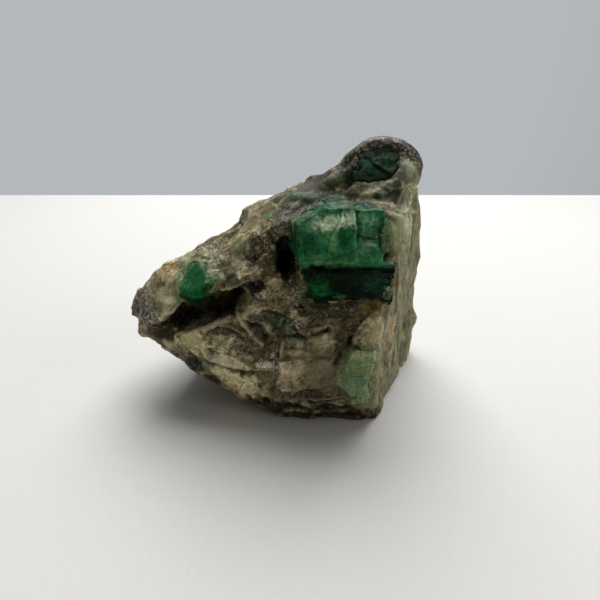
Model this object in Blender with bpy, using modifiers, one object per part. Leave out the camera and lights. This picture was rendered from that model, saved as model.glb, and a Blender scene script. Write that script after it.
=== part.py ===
# Raw emerald specimen: beryl crystals set in one lump of smoky quartz and mica schist.
# Metres, +Z up, resting on the flat base at Z = 0. The crystals show on the -Y side.
# Every size and place below is in millimetres, and is made metres where a mesh is built.
import math

import bmesh
import bpy
import numpy as np
from mathutils import Matrix, Vector, noise

MM = 0.001

# ---- driving dimensions ----

POCKET_GAP = 0.3  # clearance left round each crystal in the matrix
FUSE_GRAIN = 0.8  # grid that the matrix's lumps are fused on
CLEAN_GRAIN = 0.6  # finer grid that tidies the surface once it is weathered
GROUND_SIZE = 200.0  # block below Z = 0 that cuts the base flat
SMOOTHING_ROUNDS = 3
MATRIX_TRIANGLES = 8600

# Relief of the weathered surface, each with the length over which it rises and falls.
SWELL_RELIEF, SWELL_LENGTH = 0.55, 9.0
CREASE_RELIEF, CREASE_LENGTH, CREASE_LEVEL = 0.9, 5.0, 0.25
GRAIN_RELIEF, GRAIN_LENGTH = 0.34, 2.8
WANDER_LENGTH = 7.0

# The cleavage face on the right, where the schist split in one plane: its normal and distance.
CLEAVAGE_NORMAL = Vector((0.85, -0.52, 0.10)).normalized()
CLEAVAGE_DISTANCE = 29.9
LAYER_DEPTH = 0.9  # relief of the upright layers that the split left on it
LAYER_LENGTH = 2.6  # how wide they are
LAYER_STRETCH = 8  # how many times longer upright
LAYER_STEPS = 2.5

# The matrix's lumps, each given by the corners of its convex form.
LUMPS = {
    "belly": [
        (-3, -16, -1), (4, -20.7, -1), (15, -21.6, -1), (25.5, -20, -1), (34, -5, -1), (38, 4, -1),
        (30, 13, -1), (12, 18, -1), (-6, 14, -1), (-12, 4, 0), (-8.3, -18.3, 2.4), (-14, -16.3, 5.0),
        (-18.8, -14.3, 6.8), (3, -22.3, 3), (15, -23, 4), (26, -22.4, 4), (-23.3, -12, 12),
        (-18, -15, 12), (-8, -20, 12), (4, -23.4, 13), (15, -23.8, 13), (26, -22, 13),
        (-28, -9.7, 14.0), (-25, -4, 13), (-22, 5, 14), (-22.5, -12, 17), (-15.8, -16.5, 17.5),
        (-5, -20.3, 19.5), (5, -21.6, 21), (14, -21.4, 22), (25, -21, 24), (-21, 7, 21), (-18, 8, 24),
        (-8, 15, 27), (10, 20, 27), (28, 17, 27), (40, 8, 27), (40, 4, 10),
    ],
    "shoulder": [
        (-3, -17.5, 22), (2, -19, 22), (12, -19.2, 22), (26, -19.2, 22), (-3, -19, 27), (2, -20, 28),
        (12, -19, 29), (26, -20, 28), (26, -19, 36), (24, -17, 43.5), (12, -15, 44), (5, -15.5, 42),
        (0, -13, 41), (-6, -3, 39.8), (-2.9, -2, 41.7), (3, -2, 43.7), (5.7, -3, 45.7), (9.7, -3, 47.8),
        (13.4, -3, 50), (28, -3, 48), (34, 3, 45), (40, 6, 33), (40, 6, 20), (30, 12, 40), (10, 13, 41),
        (-6, 12, 36), (8, 20, 24), (28, 17, 24), (-12, 15, 24),
    ],
    "arm": [
        (-33.1, -8, 17.4), (-32.6, -5, 18), (-32.4, -9.5, 15.4), (-29, -10.5, 13.6), (-31.9, -8, 21.4),
        (-29.5, -7, 23.6), (-27, -8, 26), (-27, -3, 24), (-24.4, -8, 28.8), (-22, -8, 30.5),
        (-18.3, -8, 32), (-17, 0, 30), (-25.5, -14.5, 19.3), (-22.1, -16.7, 21.8), (-18.7, -18.9, 25.8),
        (-12, -19.8, 28.4), (-7, -19.3, 30.1), (-12.4, -6, 33.2), (-9, 4, 34), (-25, 2, 22),
        (-14, 7, 28), (-22, 5, 16),
    ],
    "rib": [
        (-12, -19, 29), (-7, -19.2, 30.2), (-2, -18.2, 31), (0.3, -17.2, 34), (0.5, -14, 38.5),
        (-1, -10, 40.6), (-2.9, -2, 41.4), (-6, -3, 39.9), (-8.5, -4, 37.3), (-10.1, -5, 34.6),
        (-12, -6, 32.6), (-4, 6, 38), (-12, 6, 30), (-9, 6, 20), (0, -4, 20),
    ],
    "sill": [
        (-5, -19, 29), (-5, -20.5, 24), (-2, -21, 22), (4, -22, 22), (6, -21.6, 27), (4, -21.3, 30),
        (0, -20.5, 31), (-3, -12, 30), (8, -12, 30), (8, -12, 20), (-5, -12, 20),
    ],
    "step": [
        (-17, -16.3, 19), (-12.3, -18.2, 22.2), (-9.3, -18.8, 23.6), (-7.2, -19.1, 25.8),
        (-5, -19.2, 27.6), (-3, -20.8, 23), (-5, -20.8, 18), (-14, -17.3, 15), (-5, -10, 18),
        (-5, -10, 26), (-14, -8, 18),
    ],
    "heel": [
        (-22, -4, 18), (-22, 4, 20), (-16, 8, 26), (-10, 8, 31), (-12, 0, 32), (-8, -3, 33),
        (-18, -4, 26), (-6, 0, 24), (-14, -4, 16), (-8, 8, 18),
    ],
    "nub": [
        (-20.4, -13.5, 12.2), (-20.4, -14.7, 11.2), (-17.5, -16.2, 10.6), (-15.2, -16.4, 7.6),
        (-15.8, -15, 6.4), (-19.4, -14.9, 8.6), (-16.5, -12, 9), (-19, -12, 11.5),
    ],
    "jamb": [
        (17.6, -22.3, 37.3), (19.8, -21.4, 37.1), (17.6, -20.2, 43), (20.6, -18.4, 44),
        (22.5, -16, 45.5), (17, -12, 46), (17, -12, 36.6), (24, -17, 36.6), (21.6, -20.2, 36.6),
        (17.6, -21.5, 36.6),
    ],
    "cap": [
        (13.4, -3.5, 50.2), (13.4, -4, 51.6), (15.3, -4, 53.4), (18.1, -4, 54.8), (21.1, -4, 55.4),
        (24.6, -4, 54.7), (27.5, -3, 53.2), (29.2, -3, 51.5), (30.0, -3, 49.6), (29.6, -3, 47.4),
        (28.6, -3, 45.6), (12.8, -11.5, 47), (15, -9.6, 50), (20, -9.2, 51.3), (24.5, -8.8, 50),
        (27.3, -9, 47), (22, -12.5, 46), (15, 5, 49), (22, 6, 51), (28, 5, 48), (24, 8, 44),
        (14, -12.5, 44),
    ],
}
CLEAVED_LUMPS = ("belly", "shoulder")

# Hollows cut into the lumps, each a convex cutter.
HOLLOWS = {
    "undercut": [
        (-31, -26, 13), (-25.2, -13, 17.3), (-19.5, -16, 18.5), (-12.3, -18, 22.2), (-9, -18.5, 23.6),
        (-5.3, -19, 27), (-20, -30, 14), (-6, -32, 20), (-3.5, -32, 26), (-22.1, -16, 21.8),
        (-18.7, -18, 25.7), (-12.4, -19, 28.3), (-7.3, -18.5, 29.8), (-5, -19, 29.6), (-22, -32, 22),
        (-6, -34, 30), (-19, -5, 21), (-12, -5, 24), (-6, -8, 27), (-19, -6, 23), (-11, -6, 27),
    ],
    "cleft": [
        (-0.6, -20, 39), (2.6, -20, 39.5), (0.2, -22, 35), (-1, -22, 33), (4, -24, 31.5), (0, -24, 31),
        (4, -24, 36), (0.5, -9, 38), (2.5, -9, 38), (0.5, -11, 32), (3, -11, 32),
    ],
}

# Flat fracture faces: a point on the face, the way it faces, and how far it lies flat before it curls.
FRACTURES = {
    "under the main crystal": [(12, -19.0, 25), (0.05, -0.95, 0.27), 3],
    "corner quartz": [(20, -21.0, 20.5), (0.25, -0.92, 0.3), 3.5],
    "smoky front": [(11, -22.9, 11), (-0.06, -0.97, 0.05), 6],
    "front left": [(-4.5, -20.2, 14.5), (-0.30, -0.85, 0.42), 5],
    "lower left": [(-9, -18.5, 8.2), (-0.42, -0.8, -0.42), 6],
    "belly left end": [(-19.5, -14.6, 12), (-0.5, -0.8, -0.3), 4],
    "arm top": [(-21, -12.4, 28), (-0.35, -0.6, 0.72), 6],
    "arm middle": [(-12, -13.5, 32.0), (-0.05, -0.6, 0.8), 3],
    "arm end": [(-29.5, -10.3, 19.5), (-0.75, -0.6, 0.25), 3],
    "rib front": [(-4.5, -16.0, 36), (-0.15, -0.85, 0.5), 4],
    "rib left": [(-9.5, -14, 33.8), (-0.5, -0.6, 0.62), 3],
    "ridge": [(5, -8, 43.6), (-0.12, -0.38, 0.92), 4],
    "cap left": [(13.2, -8, 49.5), (-0.75, -0.4, 0.5), 2.5],
    "back high": [(6, 15, 34), (-0.15, 0.85, 0.5), 8],
    "back low": [(14, 19, 14), (0.1, 0.97, -0.2), 8],
    "back left": [(-14, 12, 22), (-0.6, 0.75, 0.25), 7],
    "back right": [(30, 14, 25), (0.55, 0.8, 0.2), 6],
    "behind the cap": [(22, 9, 45), (0.1, 0.7, 0.7), 6],
    "left flank": [(-21, 3, 17), (-0.85, 0.2, -0.5), 5],
}
FRACTURE_CURL = 0.10  # outward curl past the flat, in millimetres for each millimetre squared
FACE_WANDER = 0.7  # how far a fracture face strays from its plane
REACH_WANDER = 0.45  # how unevenly it ends, as a share of its reach

# Shell-shaped scoops, where quartz breaks hollow: the centre of the ball a face follows, and its radius.
SCOOPS = {
    "ridge dip": [(1.6, -3, 55.5), 12.2],
    "ridge step": [(-13.5, -6, 41.5), 8.6],
    "cap neck": [(12.0, -13, 55), 8.2],
    "below the cap": [(22, -21.5, 51), 8.6],
    "beside the cleft": [(-9.5, -24, 38), 8.0],
    "belly shell": [(-2, -33, 26), 14.2],
    "smoky shell": [(8, -36, 8), 13.4],
    "left shell": [(-15, -27, 6), 10.2],
    "back shell": [(-6, 30, 40), 19.0],
    "back lower shell": [(24, 36, 6), 19.0],
    "flank shell": [(-36, 12, 4), 18.5],
}
SCOOP_WANDER = 1.1  # how far a scoop strays from its ball

# Ledges where a shell of quartz broke away: (x, z) along the step, its depth, and how far below it the
# surface takes to come back out.
LEDGE_RISE = 0.8  # height over which a ledge's edge steps back
LEDGE_ENDS = 3.0  # length over which a ledge dies out
LEDGE_BACK = -8.0  # ledges lie in front of this Y
LEDGES = {
    "upper shell": [
        [(-16, 16.2), (-12.4, 15.0), (-8.3, 13.7), (-4.2, 12.3), (-0.2, 12.1), (3.0, 13.2)], 2.1, 5.5,
    ],
    "lower shell": [
        [(-12.5, 11.0), (-7.3, 8.5), (-2.7, 6.4), (2.1, 5.0), (7.2, 4.6), (13.3, 5.2), (19, 4.2)], 1.5, 4,
    ],
    "below the recess": [
        [(-3.5, 19.5), (0.5, 20.5), (4.3, 21.3), (10, 21.0), (13.8, 20.5), (16.8, 23.5)], -0.7, 4,
    ],
}

# The main crystal: blocks of one six-sided prism that lies along X, parted by growth steps. Each has its
# reach along X, where its axis lies in Y and Z, its radius, and the flat cuts that end it: a point and
# the side cut away.
PRISM_SIDES = 6
PRISM_BLOCKS = {
    "left block": [
        (-2, 12.2), (-14.6, 36.3), 9.5,
        [((3.9, -24, 36.7), (-0.99, -0.12, -0.08)), ((3.4, -19.3, 42.3), (-0.47, 0.14, 0.87))],
    ],
    "right block": [
        (11.8, 19.4), (-14.6, 36.3), 8.7,
        [((17.3, -19, 38), (0.97, -0.12, 0.02))],
    ],
    "upper right block": [
        (11.8, 18.6), (-14.6, 36.3), 9.25,
        [((15, -20, 41.6), (0, 0.25, -0.97)), ((17.5, -19, 41), (0.97, -0.12, 0.02))],
    ],
    "lower block": [
        (2, 23), (-14.5, 35.0), 9.5,
        [((5.2, -23.6, 36.2), (-0.93, -0.15, -0.28)), ((12, -20, 36.2), (0, -0.1, 1)),
         ((20.2, -21, 31.6), (0.97, -0.20, 0.12))],
    ],
}

# The worn and broken crystals on the arm, in the cap and at the foot, by the corners of their forms.
ARM_CORNERS = [
    (-16.8, -9.3, 31.4), (-13.7, -11.7, 31.5), (-12.7, -15.1, 30.1), (-12.4, -17.3, 29.0),
    (-14.7, -18.3, 27.4), (-17.2, -18.1, 26.3), (-19.1, -16.1, 26.6), (-19.7, -13.2, 27.8),
    (-18.7, -10.6, 29.8), (-15.6, -12.4, 31.6), (-13.8, -15.6, 30.6), (-13.9, -18.0, 29.3),
    (-16.2, -18.3, 28.0), (-18.1, -16.6, 27.9), (-18.0, -13.6, 29.4), (-15.8, -9.2, 28.9),
    (-13.3, -11.1, 29.0), (-12.2, -15.6, 27.0), (-16.1, -16.3, 24.9), (-18.1, -12.4, 26.1),
]
CAP_FACING = Vector((0, -0.75, 0.66))
CAP_DEPTH = 4.5
CAP_FACE = [
    (14.0, -8.1, 49.8), (15.4, -6.2, 52.1), (18.1, -5.4, 52.9), (21.2, -5.3, 53.1), (23.9, -6.3, 51.9),
    (22.9, -8.0, 50.0), (21.6, -10.0, 47.8), (18.1, -10.8, 46.8), (14.8, -10.4, 47.3),
]
FOOT_CORNERS = [
    (14.4, -24.0, 18.7), (17.9, -23.6, 18.4), (18.7, -23.2, 4.9), (12.0, -24.2, 11.8),
    (13.6, -24.4, 16.0), (19.6, -21.5, 16.8), (20.0, -21.5, 5.1), (13.5, -18.5, 17.5),
    (19.2, -18.0, 16.0), (18.5, -18.5, 7.0), (12.8, -19.0, 12.5),
]


def removeSceneObjects():
    for obj in list(bpy.data.objects):
        bpy.data.objects.remove(obj, do_unlink=True)


def newCollection(name):
    collection = bpy.data.collections.new(name)
    bpy.context.scene.collection.children.link(collection)
    return collection


def newObject(name, mesh, collection):
    obj = bpy.data.objects.new(name, mesh)
    collection.objects.link(obj)
    return obj


def meshFromForm(name, form):
    """Ends a form made in millimetres: its faces turned outwards, as a mesh in metres."""
    bmesh.ops.recalc_face_normals(form, faces=form.faces)
    bmesh.ops.scale(form, vec=(MM, MM, MM), verts=form.verts)
    mesh = bpy.data.meshes.new(name)
    form.to_mesh(mesh)
    form.free()
    return mesh


def splitOff(form, point, normal):
    """Cuts the form on a plane, drops what lies past it and closes the cut with a flat face."""
    everything = form.verts[:] + form.edges[:] + form.faces[:]
    cut = bmesh.ops.bisect_plane(form, geom=everything, plane_co=point, plane_no=normal, clear_outer=True)
    rim = [part for part in cut["geom_cut"] if isinstance(part, bmesh.types.BMEdge)]
    if rim:
        bmesh.ops.edgenet_fill(form, edges=rim)


def convexForm(corners):
    form = bmesh.new()
    for corner in corners:
        form.verts.new(corner)
    bmesh.ops.convex_hull(form, input=form.verts)
    return form


def prismForm(start, end, radius, sides):
    """A prism between two points, with one of its edges towards -Y where it lies along X."""
    start, end = Vector(start), Vector(end)
    turn = (end - start).to_track_quat("Z", "X").to_matrix().to_4x4()
    form = bmesh.new()
    bmesh.ops.create_cone(
        form, cap_ends=True, segments=sides, radius1=radius, radius2=radius, depth=(end - start).length,
        matrix=Matrix.Translation((start + end) / 2) @ turn)
    return form


def grow(form, amount):
    """Moves every face of a convex form outwards by the same amount."""
    form.normal_update()
    for vert, move in [(vert, vert.normal * vert.calc_shell_factor() * amount) for vert in form.verts]:
        vert.co += move


def evaluatedMesh(obj):
    graph = bpy.context.evaluated_depsgraph_get()
    return bpy.data.meshes.new_from_object(obj.evaluated_get(graph))


def hideAsCutter(obj):
    obj.hide_render = True
    obj.display_type = "WIRE"


def addModifier(obj, kind, **settings):
    modifier = obj.modifiers.new(kind.title(), kind)
    for name, value in settings.items():
        setattr(modifier, name, value)
    return modifier


def applyModifiers(obj):
    mesh = evaluatedMesh(obj)
    obj.modifiers.clear()
    obj.data = mesh


def addMaterial(obj, name, colour, roughness):
    material = bpy.data.materials.new(name)
    material.use_nodes = True
    shader = material.node_tree.nodes["Principled BSDF"]
    shader.inputs["Base Color"].default_value = (*colour, 1)
    shader.inputs["Roughness"].default_value = roughness
    shader.inputs["Metallic"].default_value = 0.0
    obj.data.materials.clear()
    obj.data.materials.append(material)


def fusedLumps(collection, cutters):
    """The lumps as one body with the hollows cut in, on an even grid of points."""
    joined = bmesh.new()
    for name, corners in LUMPS.items():
        form = convexForm(corners)
        if name in CLEAVED_LUMPS:
            splitOff(form, CLEAVAGE_NORMAL * CLEAVAGE_DISTANCE, CLEAVAGE_NORMAL)
        joined.from_mesh(meshFromForm(name, form))
    mesh = bpy.data.meshes.new("matrix")
    joined.to_mesh(mesh)
    joined.free()
    matrix = newObject("matrix", mesh, collection)
    addModifier(matrix, "REMESH", mode="VOXEL", voxel_size=FUSE_GRAIN * MM)
    for name, corners in HOLLOWS.items():
        cutter = newObject(name, meshFromForm(name, convexForm(corners)), cutters)
        hideAsCutter(cutter)
        addModifier(matrix, "BOOLEAN", object=cutter, solver="EXACT")
    applyModifiers(matrix)
    addModifier(matrix, "REMESH", mode="VOXEL", voxel_size=FUSE_GRAIN * MM)
    addModifier(matrix, "SMOOTH", factor=0.5, iterations=SMOOTHING_ROUNDS)
    applyModifiers(matrix)
    return matrix


def smoothStep(value):
    value = np.clip(value, 0, 1)
    return value * value * (3 - 2 * value)


def fractal(points, wavelength, octaves, seed, stretch=(1, 1, 1)):
    """Layered noise between about -1 and 1 at each point."""
    offset = Vector((seed * 17.3, seed * 5.1, seed * 9.7))
    scaled = points / wavelength / np.array(stretch)
    return np.array([noise.fractal(Vector(p) + offset, 1.0, 2.0, octaves) for p in scaled])


def flattenFractures(points, wander):
    """Cuts each fracture face: flat within its reach, then curling outwards until it leaves the stone."""
    for place, facing, reach in FRACTURES.values():
        normal = np.array(Vector(facing).normalized())
        offset = points - np.array(place, float)
        above = offset @ normal
        along = np.linalg.norm(offset - np.outer(above, normal), axis=1) * (1 + REACH_WANDER * wander)
        allowed = FRACTURE_CURL * np.clip(along - reach, 0, None) ** 2 + FACE_WANDER * wander
        points -= np.outer(np.clip(above - allowed, 0, None), normal)


def scoopShells(points, wander):
    for centre, radius in SCOOPS.values():
        offset = points - np.array(centre, float)
        distance = np.linalg.norm(offset, axis=1)
        pushed = np.clip(radius - distance - SCOOP_WANDER * wander, 0, None)
        points += offset * (pushed / distance)[:, None]


def stepLedges(points, normals):
    """Sets the front back below each ledge, most right under its edge."""
    facing = smoothStep((-normals[:, 1] - 0.2) / 0.4) * (points[:, 1] < LEDGE_BACK)
    for line, depth, fade in LEDGES.values():
        xs, zs = np.array(line).T
        edge = np.interp(points[:, 0], xs, zs)
        ends = smoothStep((points[:, 0] - xs[0]) / LEDGE_ENDS) * smoothStep((xs[-1] - points[:,
        0]) / LEDGE_ENDS)
        below = (edge - points[:, 2]) * math.copysign(1, depth)
        amount = abs(depth) * smoothStep(below / LEDGE_RISE) * smoothStep(1 - below / fade)
        points[:, 1] += amount * ends * facing


def layerCleavage(points, normals):
    """Raises the thin upright layers of the schist on the cleavage face."""
    normal = np.array(CLEAVAGE_NORMAL)
    depth = CLEAVAGE_DISTANCE - points @ normal
    on_face = smoothStep((2.2 - depth) / 1.4) * smoothStep((depth + 1.5) / 0.8)
    on_face *= smoothStep((normals @ normal - 0.6) / 0.3)
    layers = fractal(points, LAYER_LENGTH, 2, 4, stretch=(1, 1, LAYER_STRETCH))
    steps = np.round(layers * LAYER_STEPS) / LAYER_STEPS
    points -= np.outer(on_face * (LAYER_DEPTH * (0.6 + 0.8 * steps + 0.4 * layers)), normal)


def addLumps(points, normals):
    swell = fractal(points, SWELL_LENGTH, 2, 1)
    creases = np.abs(fractal(points, CREASE_LENGTH, 2, 5)) - CREASE_LEVEL
    points += normals * (SWELL_RELIEF * swell + CREASE_RELIEF * creases)[:, None]


def addGrain(points, normals):
    points += normals * (GRAIN_RELIEF * fractal(points, GRAIN_LENGTH, 2, 2))[:, None]


def weather(mesh):
    """Works fracture faces, ledges, layers and rough grain into the points of the fused matrix."""
    points = np.empty(len(mesh.vertices) * 3)
    mesh.vertices.foreach_get("co", points)
    points = points.reshape(-1, 3) / MM
    normals = np.array([vertex.normal for vertex in mesh.vertices])
    addLumps(points, normals)
    wander = fractal(points, WANDER_LENGTH, 2, 3)
    flattenFractures(points, wander)
    scoopShells(points, wander)
    addGrain(points, normals)
    stepLedges(points, normals)
    layerCleavage(points, normals)
    mesh.vertices.foreach_set("co", (points * MM).ravel())
    mesh.update()


def makeMatrix(collection, cutters):
    matrix = fusedLumps(collection, cutters)
    weather(matrix.data)
    addModifier(matrix, "REMESH", mode="VOXEL", voxel_size=CLEAN_GRAIN * MM)
    applyModifiers(matrix)
    triangles = 2 * len(matrix.data.polygons)
    addModifier(matrix, "TRIANGULATE")
    addModifier(matrix, "DECIMATE", ratio=MATRIX_TRIANGLES / triangles)
    ground = bmesh.new()
    bmesh.ops.create_cube(ground, size=GROUND_SIZE, matrix=Matrix.Translation((0, 0, -GROUND_SIZE / 2)))
    cutter = newObject("ground", meshFromForm("ground", ground), cutters)
    hideAsCutter(cutter)
    addModifier(matrix, "BOOLEAN", object=cutter, solver="EXACT")
    addMaterial(matrix, "smoky_quartz", (0.10, 0.085, 0.055), 0.55)
    return matrix


def mainCrystalForms():
    forms = []
    for (left, right), (y, z), radius, cuts in PRISM_BLOCKS.values():
        form = prismForm((left, y, z), (right, y, z), radius, PRISM_SIDES)
        for point, facing in cuts:
            splitOff(form, point, facing)
        forms.append(form)
    return forms


def armCrystalForms():
    return [convexForm(ARM_CORNERS)]


def capCrystalForms():
    behind = [Vector(corner) - CAP_FACING * CAP_DEPTH for corner in CAP_FACE]
    return [convexForm(CAP_FACE + behind)]


def footCrystalForms():
    return [convexForm(FOOT_CORNERS)]


def capOpeningForms():
    ahead = [Vector(corner) + CAP_FACING * CAP_DEPTH for corner in CAP_FACE]
    return [convexForm(CAP_FACE + ahead)]


CRYSTALS = {
    "main_emerald": [mainCrystalForms, (0.05, 0.22, 0.10)],
    "arm_emerald": [armCrystalForms, (0.04, 0.20, 0.08)],
    "cap_emerald": [capCrystalForms, (0.03, 0.13, 0.06)],
    "foot_emerald": [footCrystalForms, (0.16, 0.30, 0.16)],
}


def uniteForms(name, forms, collection, cutters, amount=0.0):
    """One object from overlapping convex forms, each first grown by the amount."""
    objects = []
    for number, form in enumerate(forms):
        grow(form, amount)
        objects.append(newObject(f"{name} {number}", meshFromForm(name, form), cutters))
    first = objects[0]
    for other in objects[1:]:
        addModifier(first, "BOOLEAN", object=other, solver="EXACT", operation="UNION")
    whole = newObject(name, evaluatedMesh(first), collection)
    for obj in objects:
        bpy.data.objects.remove(obj)
    return whole


def makeCrystal(name, matrix, collection, cutters):
    """One crystal, and its pocket cut in the matrix."""
    makeForms, colour = CRYSTALS[name]
    crystal = uniteForms(name, makeForms(), collection, cutters)
    addMaterial(crystal, name, colour, 0.25)
    pocketForms = makeForms()
    if name == "cap_emerald":
        pocketForms += capOpeningForms()
    pocket = uniteForms(name + "_pocket", pocketForms, cutters, cutters, POCKET_GAP)
    hideAsCutter(pocket)
    addModifier(matrix, "BOOLEAN", object=pocket, solver="EXACT")


def centreOnBase(objects):
    """Puts the world origin in the middle of the part's base."""
    corners = np.array([vertex.co for obj in objects for vertex in obj.data.vertices])
    low, high = corners.min(axis=0), corners.max(axis=0)
    middle = (low + high) / 2
    for obj in objects:
        obj.data.transform(Matrix.Translation((-middle[0], -middle[1], -low[2])))


def main():
    removeSceneObjects()
    stone = newCollection("raw_emerald")
    cutters = newCollection("cutters")
    matrix = makeMatrix(stone, cutters)
    for name in CRYSTALS:
        makeCrystal(name, matrix, stone, cutters)
    applyModifiers(matrix)
    centreOnBase(stone.objects)


main()
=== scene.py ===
import math

import bmesh
import bpy
import numpy as np
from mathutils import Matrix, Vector, noise
from mathutils.bvhtree import BVHTree


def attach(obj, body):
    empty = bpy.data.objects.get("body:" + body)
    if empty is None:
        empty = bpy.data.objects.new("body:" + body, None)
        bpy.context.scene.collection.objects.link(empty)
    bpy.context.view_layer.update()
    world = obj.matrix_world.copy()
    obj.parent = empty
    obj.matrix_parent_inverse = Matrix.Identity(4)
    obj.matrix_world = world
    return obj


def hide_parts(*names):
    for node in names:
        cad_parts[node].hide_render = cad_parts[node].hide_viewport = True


mm = 0.001
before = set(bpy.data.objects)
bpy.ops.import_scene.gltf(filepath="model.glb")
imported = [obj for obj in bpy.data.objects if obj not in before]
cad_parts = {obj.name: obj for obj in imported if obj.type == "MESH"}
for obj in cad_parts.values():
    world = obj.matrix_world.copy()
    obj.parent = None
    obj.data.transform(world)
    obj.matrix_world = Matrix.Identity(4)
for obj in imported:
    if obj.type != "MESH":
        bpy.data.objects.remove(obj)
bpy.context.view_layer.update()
noise.seed_set(1)  # vector noise is otherwise seeded by the clock
bpy.ops.object.select_all(action="DESELECT")
print("frame loaded")


def srgb(red, green, blue):  # 0 to 255, as a colour picker shows it
    values = np.array([red, green, blue]) / 255
    return np.where(values <= 0.04045, values / 12.92, ((values + 0.055) / 1.055) ** 2.4)


def selectOnly(obj):
    bpy.ops.object.select_all(action="DESELECT")
    obj.select_set(True)
    bpy.context.view_layer.objects.active = obj


def workingCopy(node, name):  # a node's mesh with its loose triangles merged
    obj = bpy.data.objects.new(name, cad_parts[node].data.copy())
    obj.data.name = name
    bpy.context.scene.collection.objects.link(obj)
    obj.data.materials.clear()
    selectOnly(obj)
    bpy.ops.object.mode_set(mode="EDIT")
    bpy.ops.mesh.select_all(action="SELECT")
    bpy.ops.mesh.remove_doubles(threshold=0.002 * mm)
    bpy.ops.mesh.dissolve_limited(angle_limit=math.radians(0.5))
    bpy.ops.object.mode_set(mode="OBJECT")
    return obj


def finishModifier(obj, kind, **settings):
    selectOnly(obj)
    modifier = obj.modifiers.new(kind.title(), kind)
    for key, value in settings.items():
        setattr(modifier, key, value)
    bpy.ops.object.modifier_apply(modifier=modifier.name)


def inflate(obj, amount):  # every flat face moves out by the amount, in millimetres
    form = bmesh.new()
    form.from_mesh(obj.data)
    form.normal_update()
    moves = [vert.normal * min(vert.calc_shell_factor(), 2) * amount * mm for vert in form.verts]
    for vert, move in zip(form.verts, moves):
        vert.co += move
    form.to_mesh(obj.data)
    form.free()


def meshPoints(obj):  # places in millimetres, and normals
    places = np.empty(len(obj.data.vertices) * 3)
    normals = np.empty(len(obj.data.vertices) * 3)
    obj.data.vertices.foreach_get("co", places)
    obj.data.vertices.foreach_get("normal", normals)
    return places.reshape(-1, 3) / mm, normals.reshape(-1, 3)


def movePoints(obj, places):
    obj.data.vertices.foreach_set("co", (places * mm).ravel())
    obj.data.update()


def smoothStep(value):
    value = np.clip(value, 0, 1)
    return value * value * (3 - 2 * value)


patternSteps = {  # how far apart the patterns of two seeds are read
    "cloud": (13.7, 7.9, 3.3),
    "chips": (5.3, 11.9, 8.1),
    "grains": (3.9, 6.1, 14.3),
    "wobble": (4.7, 9.1, 2.9),
}
chipSpread = 31.7  # tells the leans of neighbouring chips apart
grainSpread = 47.3  # the same for the levels of neighbouring grains
grainWarp = 0.35  # how far the borders between grains waver


def patternShift(kind, seed):
    return Vector([seed * step for step in patternSteps[kind]])


def cloud(places, size, octaves=3, seed=0, stretch=(1, 1, 1)):  # soft noise, about -1 to 1
    shift = patternShift("cloud", seed)
    scaled = places / size / np.array(stretch)
    return np.array([noise.fractal(Vector(p) + shift, 1.0, 2.0, octaves) for p in scaled])


def chips(places, size, seed=0, stretch=(1, 1, 1)):  # each patch of the surface leans its own way
    shift = patternShift("chips", seed)
    heights = np.empty(len(places))
    for i, p in enumerate(places / size / np.array(stretch)):
        point = Vector(p) + shift
        near = noise.voronoi(point)[1][0]
        lean = noise.cell_vector(near * chipSpread) - Vector((0.5, 0.5, 0.5))
        heights[i] = (point - near).dot(lean) * 2
    return heights


def grains(places, size, seed=0):  # one level from 0 to 1 for each grain of the given size
    shift = patternShift("grains", seed)
    levels = np.empty(len(places))
    for i, p in enumerate(places / size):
        point = Vector(p) + shift
        point += noise.noise_vector(point * 1.7) * grainWarp
        levels[i] = 0.5 + 0.5 * noise.cell(noise.voronoi(point)[1][0] * grainSpread)
    return levels


def proudness(obj, rounds):  # height in millimetres over the surface's average round about
    ends = np.empty(len(obj.data.edges) * 2, dtype=int)
    obj.data.edges.foreach_get("vertices", ends)
    first, second = ends[::2], ends[1::2]
    places, normals = meshPoints(obj)
    around = np.maximum(np.bincount(ends, minlength=len(places)), 1)
    smooth = places.copy()
    for _ in range(rounds):
        for axis in range(3):
            total = np.bincount(first, smooth[second, axis], len(places))
            total += np.bincount(second, smooth[first, axis], len(places))
            smooth[:, axis] = 0.5 * smooth[:, axis] + 0.5 * total / around
    return ((places - smooth) * normals).sum(axis=1)


def nearLine(places, line):  # distance to a line of points, and from where on it
    best = np.full(len(places), 1e9)
    foot = np.zeros((len(places), 3))
    for start, end in zip(line, line[1:] or line):
        start, end = np.array(start, float), np.array(end, float)
        along = np.clip((places - start) @ (end - start) / max((end - start) @ (end - start), 1e-6), 0, 1)
        point = start + along[:, None] * (end - start)
        away = np.linalg.norm(places - point, axis=1)
        closer = away < best
        best[closer] = away[closer]
        foot[closer] = point[closer]
    return best, foot


def stroke(places, line, width, ragged=0):  # 1 along the line, 0 away from it
    return smoothStep(1.25 - nearLine(places, line)[0] / width + ragged)


def stepAlong(places, line, up, reach, rise):  # an edge: proud on its upper side, cut back below
    away, foot = nearLine(places, line)
    side = (places - foot) @ (np.array(up) / np.linalg.norm(up))
    above = smoothStep(side / 0.3 + 0.5)
    proud = np.clip(1 - away / reach, 0, 1) ** 1.5
    cut = np.clip(1 - away / (0.45 * reach), 0, 1)
    return rise * (above * proud - 0.7 * (1 - above) * cut)


def inEllipsoid(places, centre, radii, ragged=0, edge=0.35):
    reach = np.linalg.norm((places - np.array(centre)) / np.array(radii), axis=1)
    return smoothStep((1.1 - reach + ragged) / edge)


# Each patch: centre, radii, colour, strength, raggedness.
def paintPatches(places, colours, patches, ragged, edge=0.35):
    for centre, radii, shade, strength, roughness in patches.values():
        cover = inEllipsoid(places, centre, radii, roughness * ragged, edge) * strength
        colours += (srgb(*shade) - colours) * cover[:, None]


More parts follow.
